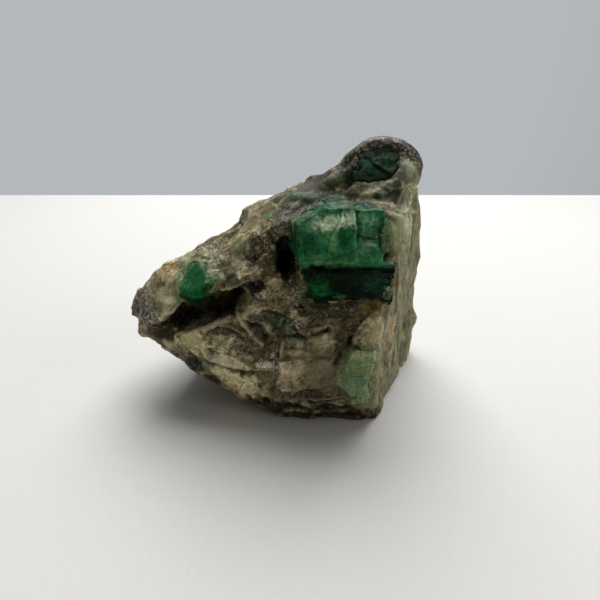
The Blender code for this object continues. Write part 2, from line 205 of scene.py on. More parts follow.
# Each stroke: line, width, colour, strength.
def paintStrokes(places, colours, strokes, ragged):
    for line, width, shade, strength in strokes.values():
        cover = stroke(places, line, width, 0.4 * ragged) * strength
        colours += (srgb(*shade) - colours) * cover[:, None]


def storePaint(obj, name, values):  # values per point, one number or a colour
    if values.ndim == 1:
        obj.data.attributes.new(name, "FLOAT", "POINT").data.foreach_set("value", values)
    else:
        rgba = np.hstack([np.clip(values, 0, 1), np.ones((len(values), 1))])
        obj.data.attributes.new(name, "FLOAT_COLOR", "POINT").data.foreach_set("color", rgba.ravel())


class Flow:  # a socket that takes part in sums
    def __init__(self, shade, socket):
        self.shade = shade
        self.socket = socket

    def sum(self, operation, first, second=0.0):
        return self.shade.node("ShaderNodeMath", {"operation": operation}, {0: first, 1: second})

    def __add__(self, other):
        return self.sum("ADD", self, other)

    def __radd__(self, other):
        return self.sum("ADD", other, self)

    def __sub__(self, other):
        return self.sum("SUBTRACT", self, other)

    def __rsub__(self, other):
        return self.sum("SUBTRACT", other, self)

    def __mul__(self, other):
        return self.sum("MULTIPLY", self, other)

    def __rmul__(self, other):
        return self.sum("MULTIPLY", other, self)

    def __abs__(self):
        return self.sum("ABSOLUTE", self)


class Shade:  # a material or the room, and the way its nodes are added
    def __init__(self, owner, surface="Principled BSDF", space="Object", **constants):
        self.owner = owner
        owner.use_nodes = True
        self.tree = owner.node_tree
        self.surface = self.tree.nodes[surface]
        for socket, value in constants.items():
            self.surface.inputs[socket.replace("_", " ")].default_value = value
        self.place = self.node("ShaderNodeTexCoord", {}, {}, output=space)

    def node(self, kind, settings, sockets, output=0):
        made = self.tree.nodes.new(kind)
        for key, value in settings.items():
            setattr(made, key, value)
        for key, value in sockets.items():
            if isinstance(value, Flow):
                self.tree.links.new(value.socket, made.inputs[key])
            else:
                made.inputs[key].default_value = value
        return Flow(self, made.outputs[output])

    def paint(self, name, output="Color"):
        return self.node("ShaderNodeAttribute", {"attribute_name": name}, {}, output=output)

    def noise(self, size, detail=3, place=None, distortion=0.0):  # size in millimetres
        return self.node(
            "ShaderNodeTexNoise", {},
            {"Vector": place or self.place, "Scale": 1 / (size * mm), "Detail": detail,
             "Distortion": distortion})

    def stretched(self, scale):
        return self.node("ShaderNodeMapping", {}, {"Vector": self.place, "Scale": scale})

    def cells(self, size, output="Distance", feature="F1", place=None):
        return self.node(
            "ShaderNodeTexVoronoi", {"feature": feature},
            {"Vector": place or self.place, "Scale": 1 / (size * mm)}, output=output)

    def facets(self, size):  # height of flat grains that each lean their own way
        settings = {"feature": "F1"}
        sockets = {"Vector": self.place, "Scale": 1 / (size * mm)}
        centre = self.node("ShaderNodeTexVoronoi", settings, sockets, output="Position")
        lean = self.node("ShaderNodeTexVoronoi", settings, sockets, output="Color")
        away = self.node("ShaderNodeVectorMath", {"operation": "SUBTRACT"}, {0: self.place, 1: centre})
        tilt = self.node("ShaderNodeVectorMath", {"operation": "SUBTRACT"}, {0: lean, 1: (0.5, 0.5, 0.5)})
        lift = self.node(
            "ShaderNodeVectorMath", {"operation": "DOT_PRODUCT"}, {0: away, 1: tilt}, output="Value")
        return lift * (1 / (size * mm))

    def ramp(self, value, low, high):  # 0 below low, 1 above high
        return self.node(
            "ShaderNodeMapRange", {"interpolation_type": "SMOOTHSTEP"},
            {"Value": value, "From Min": low, "From Max": high})

    def mix(self, factor, first, second, blend="MIX"):
        return self.node(
            "ShaderNodeMix", {"data_type": "RGBA", "blend_type": blend},
            {0: factor, 6: first, 7: second}, output=2)

    def bump(self, height, distance, strength=1.0, normal=None):  # distance in millimetres
        sockets = {"Height": height, "Distance": distance * mm, "Strength": strength}
        if normal:
            sockets["Normal"] = normal
        return self.node("ShaderNodeBump", {}, sockets)

    def into(self, **sockets):
        for name, value in sockets.items():
            self.tree.links.new(value.socket, self.surface.inputs[name.replace("_", " ")])
        return self.owner


def colour(red, green, blue):
    return (*srgb(red, green, blue), 1)


stone = {
    "grain": 0.40,  # distance between the carved surface's points
    "smoothing": 3,
    "crystalFit": 0.35,  # how far the crystals are let out, so that the stone grips them
    "relief": [  # pattern, size, height, and how much of it a worn place loses
        (cloud, 5.5, 0.20, 0.6),
        (chips, 4.2, 0.50, 0.85),
        (chips, 1.8, 0.20, 0.85),
        (cloud, 0.8, 0.06, 0.6),
    ],
    "splitNormal": (0.849, -0.519, 0.100),
    "splitDistance": 26.2,  # the cleaved side's plane
    "splitSkin": (2.6, 1.6),  # how deep the cleaved side reaches, and over what depth it fades
    "splitFacing": (0.55, 0.3),  # how squarely a face has to look that way
    "splitLoss": 0.9,  # how much of the relief the cleaved side loses
    "grip": (0.45, 0.8),  # where the relief begins beside a crystal, and over what distance it grows
    "sink": (0.8, 1.1),  # nearer to a crystal than this, rock that would stand on it drops so far
    "footHeight": 20,  # the foot crystal lies below this height, and the others above
    "layers": (0.8, 0.06),  # size and height of the cleaved side's layers
    "toneGrains": [(2.6, 0.8), (1.1, 0.4)],  # size and strength of the grains of uneven tone
    "shadeGrains": [(1.5, 0.34), (3.4, 0.24)],  # and of uneven brightness
    "creaseFine": 3.5,  # how strongly painted light brightens proud edges and painted shade darkens creases
    "creaseWide": 0.6,
    "paleEdges": 0.36,  # how strongly broken edges whiten, partly as wear and partly as a painted highlight
    "haze": 0.75,  # how strongly the rock round a crystal is tinted green
    "hazeReach": 2.2,  # and how far
    "topShade": 0.16,  # how much painted shade darkens level faces
    "backShade": 0.34,  # and how much it darkens the faces at the back
    "gloss": 0.28,
    "collar": (0.8, 1.8, 0.2),  # distance from a crystal, reach and height of the rise round it
    "overlap": 0.6,  # how far the rock laps over their edges
}

crystalNodes = ["main_emerald", "arm_emerald", "cap_emerald", "foot_emerald"]

veinLine = [
    (-10.7, -13.4, 24.2), (-10.6, -15.4, 22.8), (-9.6, -15.3, 20.7), (-8.2, -15.7, 19.1),
    (-5.9, -17.3, 17.3)]
lipLine = [(-23.8, -11.1, 16.1), (-19.1, -13.3, 18.5), (-15.5, -15.2, 20.8), (-12.4, -15, 22.8)]
ledgeLine = [
    (-18.7, -13.9, 14.3), (-18, -14, 12.3), (-16.9, -14.3, 11.3), (-13.3, -15.6, 10.9),
    (-9.1, -16.9, 10.8), (-6.8, -17, 11.2)]
arcLine = [
    (-2.1, -17.9, 18.2), (-2.5, -18.7, 16.4), (-2.3, -19.9, 14.3), (-1.9, -20.2, 13), (-2.9, -19.3, 9)]
recessLine = [
    (-17.9, -14.3, 17.4), (-16.8, -14.8, 19.1), (-14.6, -15.3, 20.6), (-12.3, -14.9, 19.8),
    (-9.5, -15.8, 18.2)]
blockLine = [
    (14.6, -17.2, 24), (13.3, -17.5, 22.3), (12.0, -18.6, 20.7), (11.5, -19.4, 19.8),
    (11.5, -20.4, 18.6)]
noseLine = [(0.3, -17.4, 22.2), (1, -18.7, 21), (2.4, -19.5, 20.8), (3.8, -19.2, 21.2), (6.9, -17.6, 21.4)]
footingLine = [(-1.5, -19.6, 5.2), (3, -20.5, 6.3), (6, -20.6, 6.1), (9, -20.9, 6.9), (12, -21, 7.4)]

# Fracture steps: the edge, the side that stands proud, how far the step reaches and its height.
stoneSteps = {
    "cream ledge": [ledgeLine, (0.1, 0, 1), 2.6, 0.45],
    "left recess": [recessLine, (-0.3, 0, 1), 2.4, 0.4],
    "front arc": [arcLine, (1, 0, 0.1), 3.5, 0.3],
    "light block": [blockLine, (0.9, 0, -0.3), 4.0, 0.8],
    "quartz nose": [noseLine, (0.1, 0, 1), 2.6, 0.8],
    "footing": [footingLine, (0, 0, 1), 3.0, 0.55],
    "arm lip": [
        [(-15, -14.6, 28.6), (-13.6, -14.6, 28), (-9.8, -16.3, 30.4), (-8.3, -16.2, 31.2)], (0, -0.3, 1),
        2.4, 0.5],
    "step, left": [
        [(-7.6, -15.9, 26.6), (-5.6, -16.6, 25.4), (-2.5, -17.4, 24.4), (-0.4, -17.6, 23.4)], (0, 0, 1),
        2.6, 0.5],
    "step, right": [[(0.5, -16.6, 27.5), (2.2, -16.5, 25.6), (4.4, -16.6, 24.6)], (-0.6, 0, 1), 2.2, 0.4],
    "hump on the step": [
        [(-7.8, -16.8, 28.6), (-6.2, -17.3, 27.6), (-4.6, -17.3, 28.8)], (0, 0, 1), 1.8, 0.5],
    "low ledge": [
        [(-4, -18.6, 8.2), (1, -20.2, 8.6), (6, -20.4, 9.8), (9.5, -20.8, 11.6)], (0, 0, 1), 2.6, 0.3],
    "belly": [[(-1.2, -19.8, 15.6), (3.6, -20.2, 16.4), (7.6, -20.2, 15.8)], (0, 0, 1), 2.4, -0.3],
    "crest over the crystal": [
        [(15.2, -16.6, 43.6), (17, -15.6, 42.2), (19.5, -11, 41.4), (24.5, -1, 40)], (0, 0, 1), 2.2,
        0.55],
    "cap's shoulder": [
        [(15.4, -11.8, 45.2), (17.5, -9.6, 46.4), (21.4, -7.2, 46.6), (24.5, -4.6, 46.4)], (0, 0, 1),
        2.2, 0.5],
    "cap's brow": [
        [(11.4, -4.2, 51.6), (13.2, -3.4, 52.8), (16.5, -3, 53.6), (20, -3.2, 53.2), (22.4, -4.2, 51)],
        (0, 0.4, 1), 1.9, 0.5],
    "left flank": [[(-23, -11.6, 14.6), (-20.6, -13, 12.9), (-19, -13.7, 12)], (0.3, 0, 1), 2.2, 0.35],
}
# Narrow cuts and ribs: the line, its width and how far the surface rises along it.
stoneCuts = {
    "vein": [veinLine, 0.45, 0.22],
    "beside the vein": [
        [(-9.4, -14.8, 22.2), (-7.9, -15.6, 20.9), (-5.9, -15.9, 20.1), (-5.2, -16.4, 19.4)], 0.9, -0.9],
    "lower lip": [lipLine, 0.7, 0.3],
    "black crack": [[(3.4, -19.3, 20.9), (5.2, -18.7, 20.9), (7.0, -17.6, 21.2)], 0.5, -0.8],
    "left of the block": [[(13.0, -17.5, 22.8), (11.4, -18.4, 21), (10.9, -19.5, 19.6)], 0.6, -0.5],
    "left of the foot": [[(9.0, -20.6, 19.5), (9.3, -20.6, 17), (8.4, -20.6, 15.2)], 0.7, -0.5],
    "base pit, left": [[(-5.2, -16.9, 3.0), (-4.2, -17.2, 2.8)], 0.8, -0.8],
    "base pit, middle": [[(-1.0, -20.0, 5.3), (0.5, -20.3, 5.1)], 0.7, -0.8],
    "base crack": [[(3, -20.5, 5.9), (5, -20.6, 5.5), (7, -20.6, 6.0), (9, -20.9, 6.3)], 0.6, -0.6],
    "lower band": [[(-8, -16.0, 1.6), (0, -19.4, 1.6), (8, -19.4, 1.1), (16, -19.8, 1.9)], 0.5, -0.4],
    "side groove": [[(19.4, -15, 21), (20, -14.6, 14), (19.9, -15.8, 7), (19.6, -17, 3)], 0.6, -0.35],
    "side rib": [[(22.6, -9.6, 19), (22.6, -9.8, 14), (23.4, -9.6, 9)], 0.8, 0.3],
}
# Where the rock is worn smooth: centre, radii.
smoothZones = {
    "back, low": [(14, 14, 12), (10, 10, 6)],
    "back, left": [(-16, 6, 22), (9, 8, 7)],
    "back, upper": [(4, 14, 36), (14, 10, 9)],
    "arm tip": [(-29, -9, 18.6), (6, 7, 4.6)],
    "arm's underside": [(-26, -10, 16.4), (7, 6, 3.2)],
    "cap": [(18, 0, 53), (9, 8, 3.4)],
    "arm front": [(-24, -11, 25), (5, 5, 5)],
    "skyline": [(2, -2, 45), (12, 7, 4.4)],
    "left edge of the slope": [(-6, -6, 40), (5, 5, 4)],
    "lip": [(-11.6, -15, 30.4), (3.6, 3, 1.8)],
    "belly": [(4.5, -20, 13), (6.5, 3, 5.5)],
    "under the ledge": [(-12, -15.5, 9), (5, 3, 3)],
    "left flank": [(-19.5, -13.4, 14.8), (5.4, 3, 3.6)],
    "ledge": [(-12.5, -15.6, 12.2), (6.4, 3, 1.9)],
    "cap's front": [(17, -7, 49), (8, 5, 4.6)],
    "right of the crystal": [(17.8, -15, 39.6), (3.2, 4, 4.6)],
}
# Rock that laps over the crystals: centre, radii.
rockCrusts = {
    "left of the lower block": [(0.2, -19.0, 30.4), (2.2, 5, 5.0)],
    "over the left shoulder": [(0.2, -13.5, 43.4), (3.0, 3.2, 2.6)],
    "behind the left shoulder": [(3.4, -9.6, 44.6), (2.2, 2.4, 2)],
    "crumbs on top": [(9.4, -12.4, 44.8), (1.6, 1.6, 1.4)],
    "top right corner": [(14.6, -13.6, 44.8), (1.5, 2.2, 1.6)],
    "behind the top": [(8, -9, 45), (6, 1.4, 1.6)],
    "right shoulder": [(16.3, -19.4, 37.4), (1.5, 3.6, 1.9)],
    "right of the lower block": [(17.5, -19.4, 32.4), (1.25, 3.2, 4.4)],
    "under the lower block": [(12, -17, 26.8), (6, 2.4, 1.3)],
    "arm's back": [(-20, -6.4, 32), (5, 2, 1.6)],
    "arm's left": [(-23.4, -11, 28), (1.6, 3, 3)],
    "cap's left": [(10.6, -5.4, 50), (1.6, 2, 3)],
    "cap's right": [(20.8, -6, 48.4), (1.6, 2, 2)],
    "cap's foot": [(16, -8, 46.6), (5, 2, 1.0)],
}


def rawStone():
    body = workingCopy("matrix", "stoneBody")
    for node in crystalNodes:
        core = workingCopy(node, node + "Core")
        inflate(core, stone["crystalFit"])
        selectOnly(body)
        core.select_set(True)
        bpy.ops.object.join()
    finishModifier(body, "REMESH", mode="VOXEL", voxel_size=stone["grain"] * mm)
    finishModifier(body, "SMOOTH", factor=0.5, iterations=stone["smoothing"])
    return body


def surfaceTree(nodes):
    joined = bmesh.new()
    for node in nodes:
        joined.from_mesh(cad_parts[node].data)
    tree = BVHTree.FromBMesh(joined)
    joined.free()
    return tree


def distanceTo(surface, places):  # in millimetres
    return np.array([surface.find_nearest(Vector(p))[3] for p in places * mm]) / mm


def rockCover(places):  # 1 where a skin of rock lies over a crystal
    border = stone["overlap"] * (1 + 1.1 * cloud(places, 1.6, 3, 25))
    cover = smoothStep((border - distanceTo(rockSurface, places) + 0.3) / 0.35)
    ragged = cloud(places, 1.3, 3, 27)
    for centre, radii in rockCrusts.values():
        cover = np.maximum(cover, inEllipsoid(places, centre, radii, 0.5 * ragged, 0.25))
    return cover


def carveStone(body):
    places, normals = meshPoints(body)
    start = places.copy()
    splitNormal = np.array(stone["splitNormal"])
    depth = stone["splitDistance"] - places @ splitNormal
    (reach, fade), (least, spread) = stone["splitSkin"], stone["splitFacing"]
    onSplit = smoothStep((reach - depth) / fade) * smoothStep((normals @ splitNormal - least) / spread)
    outside = distanceTo(crystalSurfaces, places)
    cover = rockCover(places)
    nearest, growth = stone["grip"]
    clear = smoothStep((outside - nearest) / growth)  # 0 where a crystal is gripped
    worn = np.zeros(len(places))
    for centre, radii in smoothZones.values():
        worn = np.maximum(worn, inEllipsoid(places, centre, radii, edge=0.6))
    moves = np.zeros(len(places))
    for seed, (pattern, size, height, loss) in enumerate(stone["relief"], start=1):
        field = pattern(places, size, seed=seed)
        moves += field * height * (1 - stone["splitLoss"] * onSplit) * (1 - loss * worn)
    for line, up, reach, rise in stoneSteps.values():
        moves += stepAlong(start, line, up, reach, rise)
    for line, width, rise in stoneCuts.values():
        moves += rise * stroke(start, line, width)
    for centre, radii, rise in stoneBulges.values():
        moves += rise * inEllipsoid(start, centre, radii, edge=0.9)
    distance, reach, rise = stone["collar"]
    aboveFoot = smoothStep((start[:, 2] - stone["footHeight"]) / 4)
    collar = rise * aboveFoot * np.clip(1 - np.abs(outside - distance) / reach, 0, 1)
    moves += collar * (0.7 + 0.6 * cloud(start, 1.6, 2, 7))
    clear = np.maximum(clear, 0.5 * cover)
    nearest, drop = stone["sink"]
    sink = drop * (1 - cover) * smoothStep((nearest - outside) / 0.3)  # clears the crystals' faces
    places += normals * (moves * clear - sink)[:, None]
    size, height = stone["layers"]
    layers = cloud(start, size, 2, 5, stretch=(1, 1, 9))
    layers += 0.6 * cloud(start, size * 2.2, 2, 6, stretch=(1, 1, 14))
    places -= np.outer(onSplit * height * (np.round(layers * 3) / 3 + 0.4 * layers), splitNormal)
    nearFloor = np.clip(start[:, 2] / 0.5, 0, 1)  # the flat underside stays on the floor
    places[:, 2] = np.clip(places[:, 2], 0, None) * nearFloor
    for centre, radii, shift in stoneShifts.values():
        places[:, 0] -= shift * inEllipsoid(start, centre, radii, edge=0.9)
    movePoints(body, places)
    return start, onSplit, outside, worn


stoneBulges = {  # centre, radii, rise
    "belly crease": [(2.8, -20.1, 17.1), (5.8, 3, 1.2), 0.4],
    "dark nub": [(-20.6, -12.4, 9.4), (2.6, 3, 2.0), 1.1],
    "small nub": [(-16.6, -12.6, 5.4), (1.9, 2.4, 1.3), 0.8],
    "step hump": [(-6.0, -17.1, 28.4), (1.6, 2, 1.4), 0.6],
    "pale lens by the cap": [(20.9, -7.2, 49.6), (2.0, 2.4, 1.8), 0.6],
    "yellow lens": [(14.2, -11.0, 45.5), (2.3, 2.2, 1.7), 0.6],
    "lens on the skyline": [(1.2, -4.2, 43.9), (2.4, 2.4, 1.8), 0.5],
    "bright lens": [(-5.3, -18.8, 13.8), (1.9, 2, 1.1), 0.4],
    "belly": [(4, -20, 13), (6.5, 4, 5.5), 0.7],
}
stoneShifts = {  # centre, radii, shift towards -X
    "notch by the cap": [(28, 2.5, 45.2), (5, 11, 1.9), 1.5],
    "brow of the split side": [(28, 2.5, 42), (5, 11, 5), 0.8],
}

# Colours of the stone: the ground, then dabs (centre, radii, colour, strength, raggedness of the edge).
stoneGround = {
    "dark": (82, 72, 42),
    "quartz": (134, 124, 90),
    "pale": (176, 168, 140),
    "schist": (142, 140, 110),
    "brownSchist": (112, 104, 78),
    "haze": (70, 78, 48),
    "footHaze": (120, 126, 92),
    "armHaze": (100, 118, 78),
    # painted shade: dark rock under the main crystal
    "shadeUnderCrystal": (40, 34, 18),
    "capHaze": (58, 60, 50),
    "topHaze": (46, 62, 42),
}
stoneDabs = {
    "halo by the arm crystal": [(-21.4, -11.4, 28.6), (2.6, 3, 3.0), (104, 124, 84), 0.8, 0.7],
    "olive on the arm": [(-15.5, -10, 32), (4.4, 4, 2.6), (112, 112, 78), 0.65, 0.7],
    "split face, low": [(20.8, -13, 17), (3, 4, 6), (178, 160, 124), 0.6, 0.9],
    "split face, middle": [(22.6, -10, 31), (3, 5, 6), (109, 104, 77), 0.6, 0.9],
    "green, upper right": [(24, -2.6, 37.5), (6, 8, 5.5), (208, 210, 174), 0.8, 0.6],
    "split face, top": [(22.5, -7, 39.5), (5, 8, 4.6), (190, 184, 152), 0.7, 0.7],
    "slope over the crystal": [(2.5, -6, 44.0), (9, 5.4, 3.2), (52, 66, 46), 0.9, 0.5],
    "grey-green slope, left": [(3.4, -3.6, 45.0), (3.6, 3, 1.8), (48, 64, 46), 0.8, 0.8],
    "over the cleft": [(-1.8, -10.5, 38.0), (2.8, 6, 3.4), (42, 38, 22), 0.88, 0.6],
    "round the cap crystal": [(16.4, -5.4, 49.6), (6.4, 4, 3.6), (44, 58, 40), 0.8, 0.7],
    "round the foot crystal": [(14.6, -20.6, 17.8), (3.6, 2, 2.0), (150, 156, 112), 0.7, 0.7],
    "dark right of the crystal": [(17.6, -18.8, 31.8), (1.3, 2.4, 3.8), (60, 72, 46), 0.8, 0.8],
    "back, dark band": [(-2, 14, 19), (13, 9, 3.4), (74, 70, 56), 0.75, 1.2],
    "back, grey": [(-16, 8, 25), (8, 7, 4), (116, 112, 98), 0.7, 0.9],
    "back, quartz": [(12, 18, 36), (8, 6, 6), (176, 170, 150), 0.65, 1.0],
    "back, rust": [(-8, 14, 9), (5, 6, 3), (128, 104, 72), 0.6, 1.2],
    "back, green": [(7, 18, 24), (2.6, 4, 1.8), (70, 96, 70), 0.75, 0.9],
    "back, brown": [(16, 12, 12), (6, 9, 7), (104, 96, 76), 0.7, 1.0],
    "crown's back": [(14, 8, 47), (8, 6, 4), (96, 92, 78), 0.7, 0.9],
    "belly": [(4, -20, 13), (7, 4, 6), (114, 103, 77), 0.7, 0.5],
    "right of the arc": [(-0.2, -19.6, 14.0), (2.4, 2, 4.6), (186, 170, 134), 0.8, 0.4],
    "rib": [(-5.3, -12.5, 35), (4.5, 6, 5), (57, 48, 16), 0.88, 0.5],
    "arm middle": [(-14.5, -8, 33), (5.5, 6, 3), (112, 106, 80), 0.78, 0.7],
    "arm crest": [(-23.5, -8.2, 29.8), (5, 4, 2.6), (190, 180, 144), 0.9, 0.5],
    "arm crest, gold": [(-24.4, -7, 29.6), (3, 2, 1.4), (186, 156, 104), 0.7, 0.6],
    "green shine on the arm": [(-21.6, -8.6, 30.4), (2.2, 2.4, 1.6), (104, 124, 84), 0.6, 0.5],
    "arm front": [(-23.5, -12, 26), (4.4, 3, 2.4), (158, 148, 120), 0.8, 0.5],
    "arm tip": [(-30, -9.5, 22.6), (4, 6, 3.4), (106, 98, 80), 0.8, 0.5],
    "tip end": [(-31.6, -9, 19.6), (3, 6, 3), (70, 68, 58), 0.85, 0.5],
    # the tip's underside: its brown, darkened as painted shade
    "painted shade on the tip's underside": [(-26.5, -10.8, 16.8), (5.4, 5, 3.0), (45, 37, 18), 0.97, 0.25],
    "pale lens": [(-24.2, -13.2, 25.3), (1.5, 1.5, 0.7), (186, 178, 146), 0.9, 0.2],
    # the olive lip, painted near black as shade
    "olive lip in painted shade": [(-11.6, -15.6, 30.0), (3.6, 3, 2.0), (28, 26, 6), 0.95, 0.25],
    "yellow stain": [(-8.9, -15.6, 31.8), (1.8, 2.2, 1.2), (96, 80, 36), 0.7, 0.9],
    "green speck on the arm": [(-13.2, -13.6, 31.8), (0.8, 1, 0.7), (30, 100, 60), 0.9, 0.2],
    "speckled crest": [(-10.2, -8.0, 35.4), (2.4, 3, 2), (140, 148, 108), 0.6, 1.2],
    "ochre streak": [(-4.8, -4.8, 41.0), (2.8, 2.2, 1.6), (98, 84, 50), 0.75, 0.7],
    "ochre streak, low": [(-8.4, -5.5, 38.8), (1.6, 2.2, 1.9), (122, 110, 68), 0.65, 0.9],
    "small green": [(-4.3, -6.9, 40.8), (1.7, 2.4, 1.6), (64, 98, 66), 0.85, 0.6],
    "grey over the crystal": [(-1.6, -9, 41.4), (3.4, 5, 3.4), (70, 62, 45), 0.9, 0.5],
    "brown left of the lower block": [(0.4, -18.5, 31.5), (2.6, 4, 5), (56, 48, 24), 0.92, 0.4],
    "pale green": [(1.0, -4.2, 43.8), (2.6, 2.4, 1.8), (54, 76, 58), 0.8, 0.7],
    "skyline": [(3, 1, 46.5), (11, 5, 2.6), (54, 50, 34), 0.9, 0.5],
    "slope under the skyline": [(5.4, -5, 45.6), (5, 2.6, 1.7), (58, 58, 38), 0.85, 0.6],
    "dark seam": [(7, -8.4, 45.0), (5, 1.6, 1.2), (44, 44, 30), 0.8, 0.5],
    "green under the cap": [(10.8, -6.4, 48.0), (1.8, 2.4, 1.9), (36, 74, 50), 0.85, 0.7],
    "grey-green slope": [(7, -4.6, 47.2), (3, 2, 1.2), (62, 76, 54), 0.75, 0.6],
    "brown under the cap": [(12.2, -9.2, 45.9), (4.6, 2.4, 1.3), (66, 64, 44), 0.8, 0.5],
    "dark under the cap": [(18.0, -9.8, 46.4), (3.4, 2.6, 1.6), (50, 48, 34), 0.9, 0.5],
    "yellow lens": [(14.2, -11.0, 45.5), (2.4, 2, 1.8), (136, 138, 92), 0.9, 0.3],
    "beige over the crystal": [(17.4, -14.4, 43.0), (3.0, 3, 1.9), (100, 102, 76), 0.85, 0.7],
    "olive by the crystal": [(15.4, -18.2, 40.4), (1.5, 2.4, 3.0), (88, 112, 74), 0.85, 0.6],
    "olive seam": [(16.4, -17.6, 35.5), (1.4, 2, 3.4), (74, 78, 44), 0.8, 0.4],
    "green at the neck": [(19.6, -10.4, 45.0), (2.4, 2.6, 2.2), (58, 76, 52), 0.8, 0.6],
    "cap rim": [(18, -1, 53), (9.5, 5.4, 3.0), (58, 55, 53), 0.95, 0.3],
    "cap rim, light": [(18.6, -3.2, 54.2), (5.4, 1.6, 0.8), (98, 92, 87), 0.6, 0.9],
    "cap, right": [(24.8, -2.4, 50.2), (2.6, 4, 3.4), (60, 58, 54), 0.9, 0.4],
    "cap, left": [(10.8, -3.8, 50.3), (2.8, 3, 2.8), (50, 48, 42), 0.9, 0.5],
    "cap pale": [(20.9, -7.2, 49.6), (2.0, 2, 1.8), (124, 136, 110), 0.85, 0.6],
    "step": [(-3, -17, 27.4), (5, 4, 3), (108, 94, 62), 0.8, 0.5],
    "step hump": [(-6.0, -17.1, 28.4), (1.6, 2, 1.4), (168, 156, 118), 0.8, 0.5],
    "step top": [(-3.5, -15, 30.6), (2.4, 2, 1.0), (112, 98, 78), 0.7, 0.5],
    "under the step": [(-4, -16.5, 23.2), (5, 3, 2.0), (34, 37, 18), 0.85, 0.5],
    "green heart": [(-2.6, -16.8, 21.9), (2.6, 2, 2.2), (30, 60, 32), 0.78, 0.8],
    "green, low": [(0.4, -18.2, 20.0), (2.8, 2.2, 1.7), (76, 94, 60), 0.85, 0.7],
    "nose": [(1.9, -18, 22.6), (1.9, 2, 1.7), (156, 142, 112), 0.75, 0.4],
    "recess": [(7.6, -16.6, 25.0), (6.4, 3.4, 2.4), (42, 35, 6), 0.92, 0.4],
    "recess, upper": [(9.5, -15.6, 27), (4.6, 3, 1.2), (26, 22, 10), 0.8, 0.4],
    "recess, right": [(11.4, -17.2, 24.2), (2.2, 2, 1.7), (70, 62, 30), 0.8, 0.4],
    "orange stain": [(15.0, -17.4, 26.0), (2.1, 2, 1.7), (136, 104, 28), 0.9, 0.5],
    "light block": [(15.2, -19.0, 21.2), (3.5, 3, 3.3), (174, 162, 122), 0.9, 0.2],
    "grey mica": [(9.3, -20.0, 17.8), (1.4, 2, 2.4), (54, 50, 34), 0.9, 0.4],
    "left recess": [(-12.5, -15.3, 16.8), (4.6, 3, 3.4), (224, 212, 170), 0.8, 0.6],
    "left recess, dark": [(-10.4, -15.6, 16.4), (2.4, 2, 1.5), (104, 90, 60), 0.7, 0.5],
    "brown by the arc": [(-4.9, -17.8, 15.6), (2.6, 2, 2.2), (92, 80, 50), 0.8, 0.4],
    "brown corner": [(-4.2, -17.0, 18.4), (1.6, 2, 0.9), (62, 48, 20), 0.85, 0.3],
    "cream ledge": [(-12.2, -15.6, 12.3), (5.8, 3, 1.4), (240, 228, 192), 0.9, 0.5],
    "cream corner": [(-17.6, -13.9, 13.0), (1.4, 2, 1.4), (186, 180, 130), 0.85, 0.6],
    "left flank": [(-20.5, -13.2, 15.6), (4.8, 3, 2.8), (206, 196, 148), 0.85, 0.5],
    "under the ledge": [(-13.0, -15.2, 9.2), (5.0, 3, 2.0), (226, 214, 168), 0.85, 0.5],
    "bright lens": [(-5.0, -18.9, 13.8), (2.2, 2, 1.7), (210, 202, 176), 0.75, 1.0],
    "low left": [(-9.8, -16.0, 6.4), (5.0, 3.4, 4.0), (240, 226, 178), 0.88, 0.6],
    "low left orange": [(-11.5, -14.4, 4.4), (2.2, 2, 1.3), (190, 146, 92), 0.6, 0.9],
    # painted shade: a dark band along the foot, under the overhang
    "base": [(5, -18.8, 1.4), (17, 4, 3.4), (22, 19, 6), 0.93, 0.4],
    "dark nub": [(-20.4, -12.6, 9.4), (3.4, 3, 2.3), (24, 32, 28), 0.95, 0.3],
    "pale by the nub": [(-17.3, -13.9, 10.4), (1.1, 2, 1.6), (140, 148, 126), 0.8, 0.3],
    "under the nub": [(-16.4, -12.3, 5.6), (2.2, 2, 1.7), (52, 42, 40), 0.9, 0.3],
    "pink edge": [(19.4, -15.8, 12), (1.3, 2.4, 9), (150, 132, 104), 0.7, 0.6],
    "right of the crystal": [(17.8, -15.4, 39.8), (2.8, 3, 4.4), (148, 154, 114), 0.85, 0.6],
    "pale by the foot": [(18.6, -18.4, 5.6), (1.6, 2, 2.6), (164, 160, 118), 0.75, 0.5],
    "ochre on the side": [(23.6, -8, 16.6), (1.6, 2.6, 3.8), (190, 164, 110), 0.95, 0.25],
    "grey on the side": [(23.8, -9.0, 8.8), (1.1, 1.9, 3.4), (78, 72, 74), 0.9, 0.3],
    "rust on the side": [(22, -9, 26.6), (0.7, 1.4, 1.7), (104, 70, 42), 0.8, 0.4],
    "green on the side": [(26, -2, 33), (2.4, 3, 6), (150, 162, 124), 0.5, 0.8],
    "left recess, upper": [(-12.8, -15.2, 19.2), (4.4, 3, 2.0), (54, 44, 24), 0.9, 0.6],
    "left recess, patch": [(-13.2, -15.2, 18.2), (1.3, 2, 0.8), (98, 84, 58), 0.7, 0.8],
    "left recess, right": [(-8.2, -16.2, 17.6), (2.4, 2, 1.6), (84, 68, 38), 0.8, 0.6],
    # the neck is dark, and painted darker still as shade over its lit top
    "neck": [(17.4, -11.2, 45.5), (3.6, 4.0, 2.1), (28, 36, 17), 0.93, 0.45],
    "step, left": [(-7.2, -16.8, 28.6), (1.9, 2.4, 2.4), (60, 50, 28), 0.8, 0.7],
    "split face, brow": [(23.2, -5.6, 43.8), (3.2, 4, 2.3), (84, 90, 66), 0.8, 0.6],
    "belly's foot": [(4.6, -20.2, 6.8), (7, 2.4, 2.3), (40, 33, 13), 0.85, 0.7],
    "notch by the cap": [(24.0, -4.6, 45.6), (1.1, 2.0, 0.8), (16, 14, 10), 0.9, 0.4],
    "green by the neck": [(21.4, -6.0, 44.6), (1.3, 2.4, 2.0), (70, 104, 66), 0.7, 0.6],
    "skyline, low": [(-0.5, -0.5, 43.6), (3.4, 2.4, 1.2), (54, 50, 36), 0.85, 0.6],
}
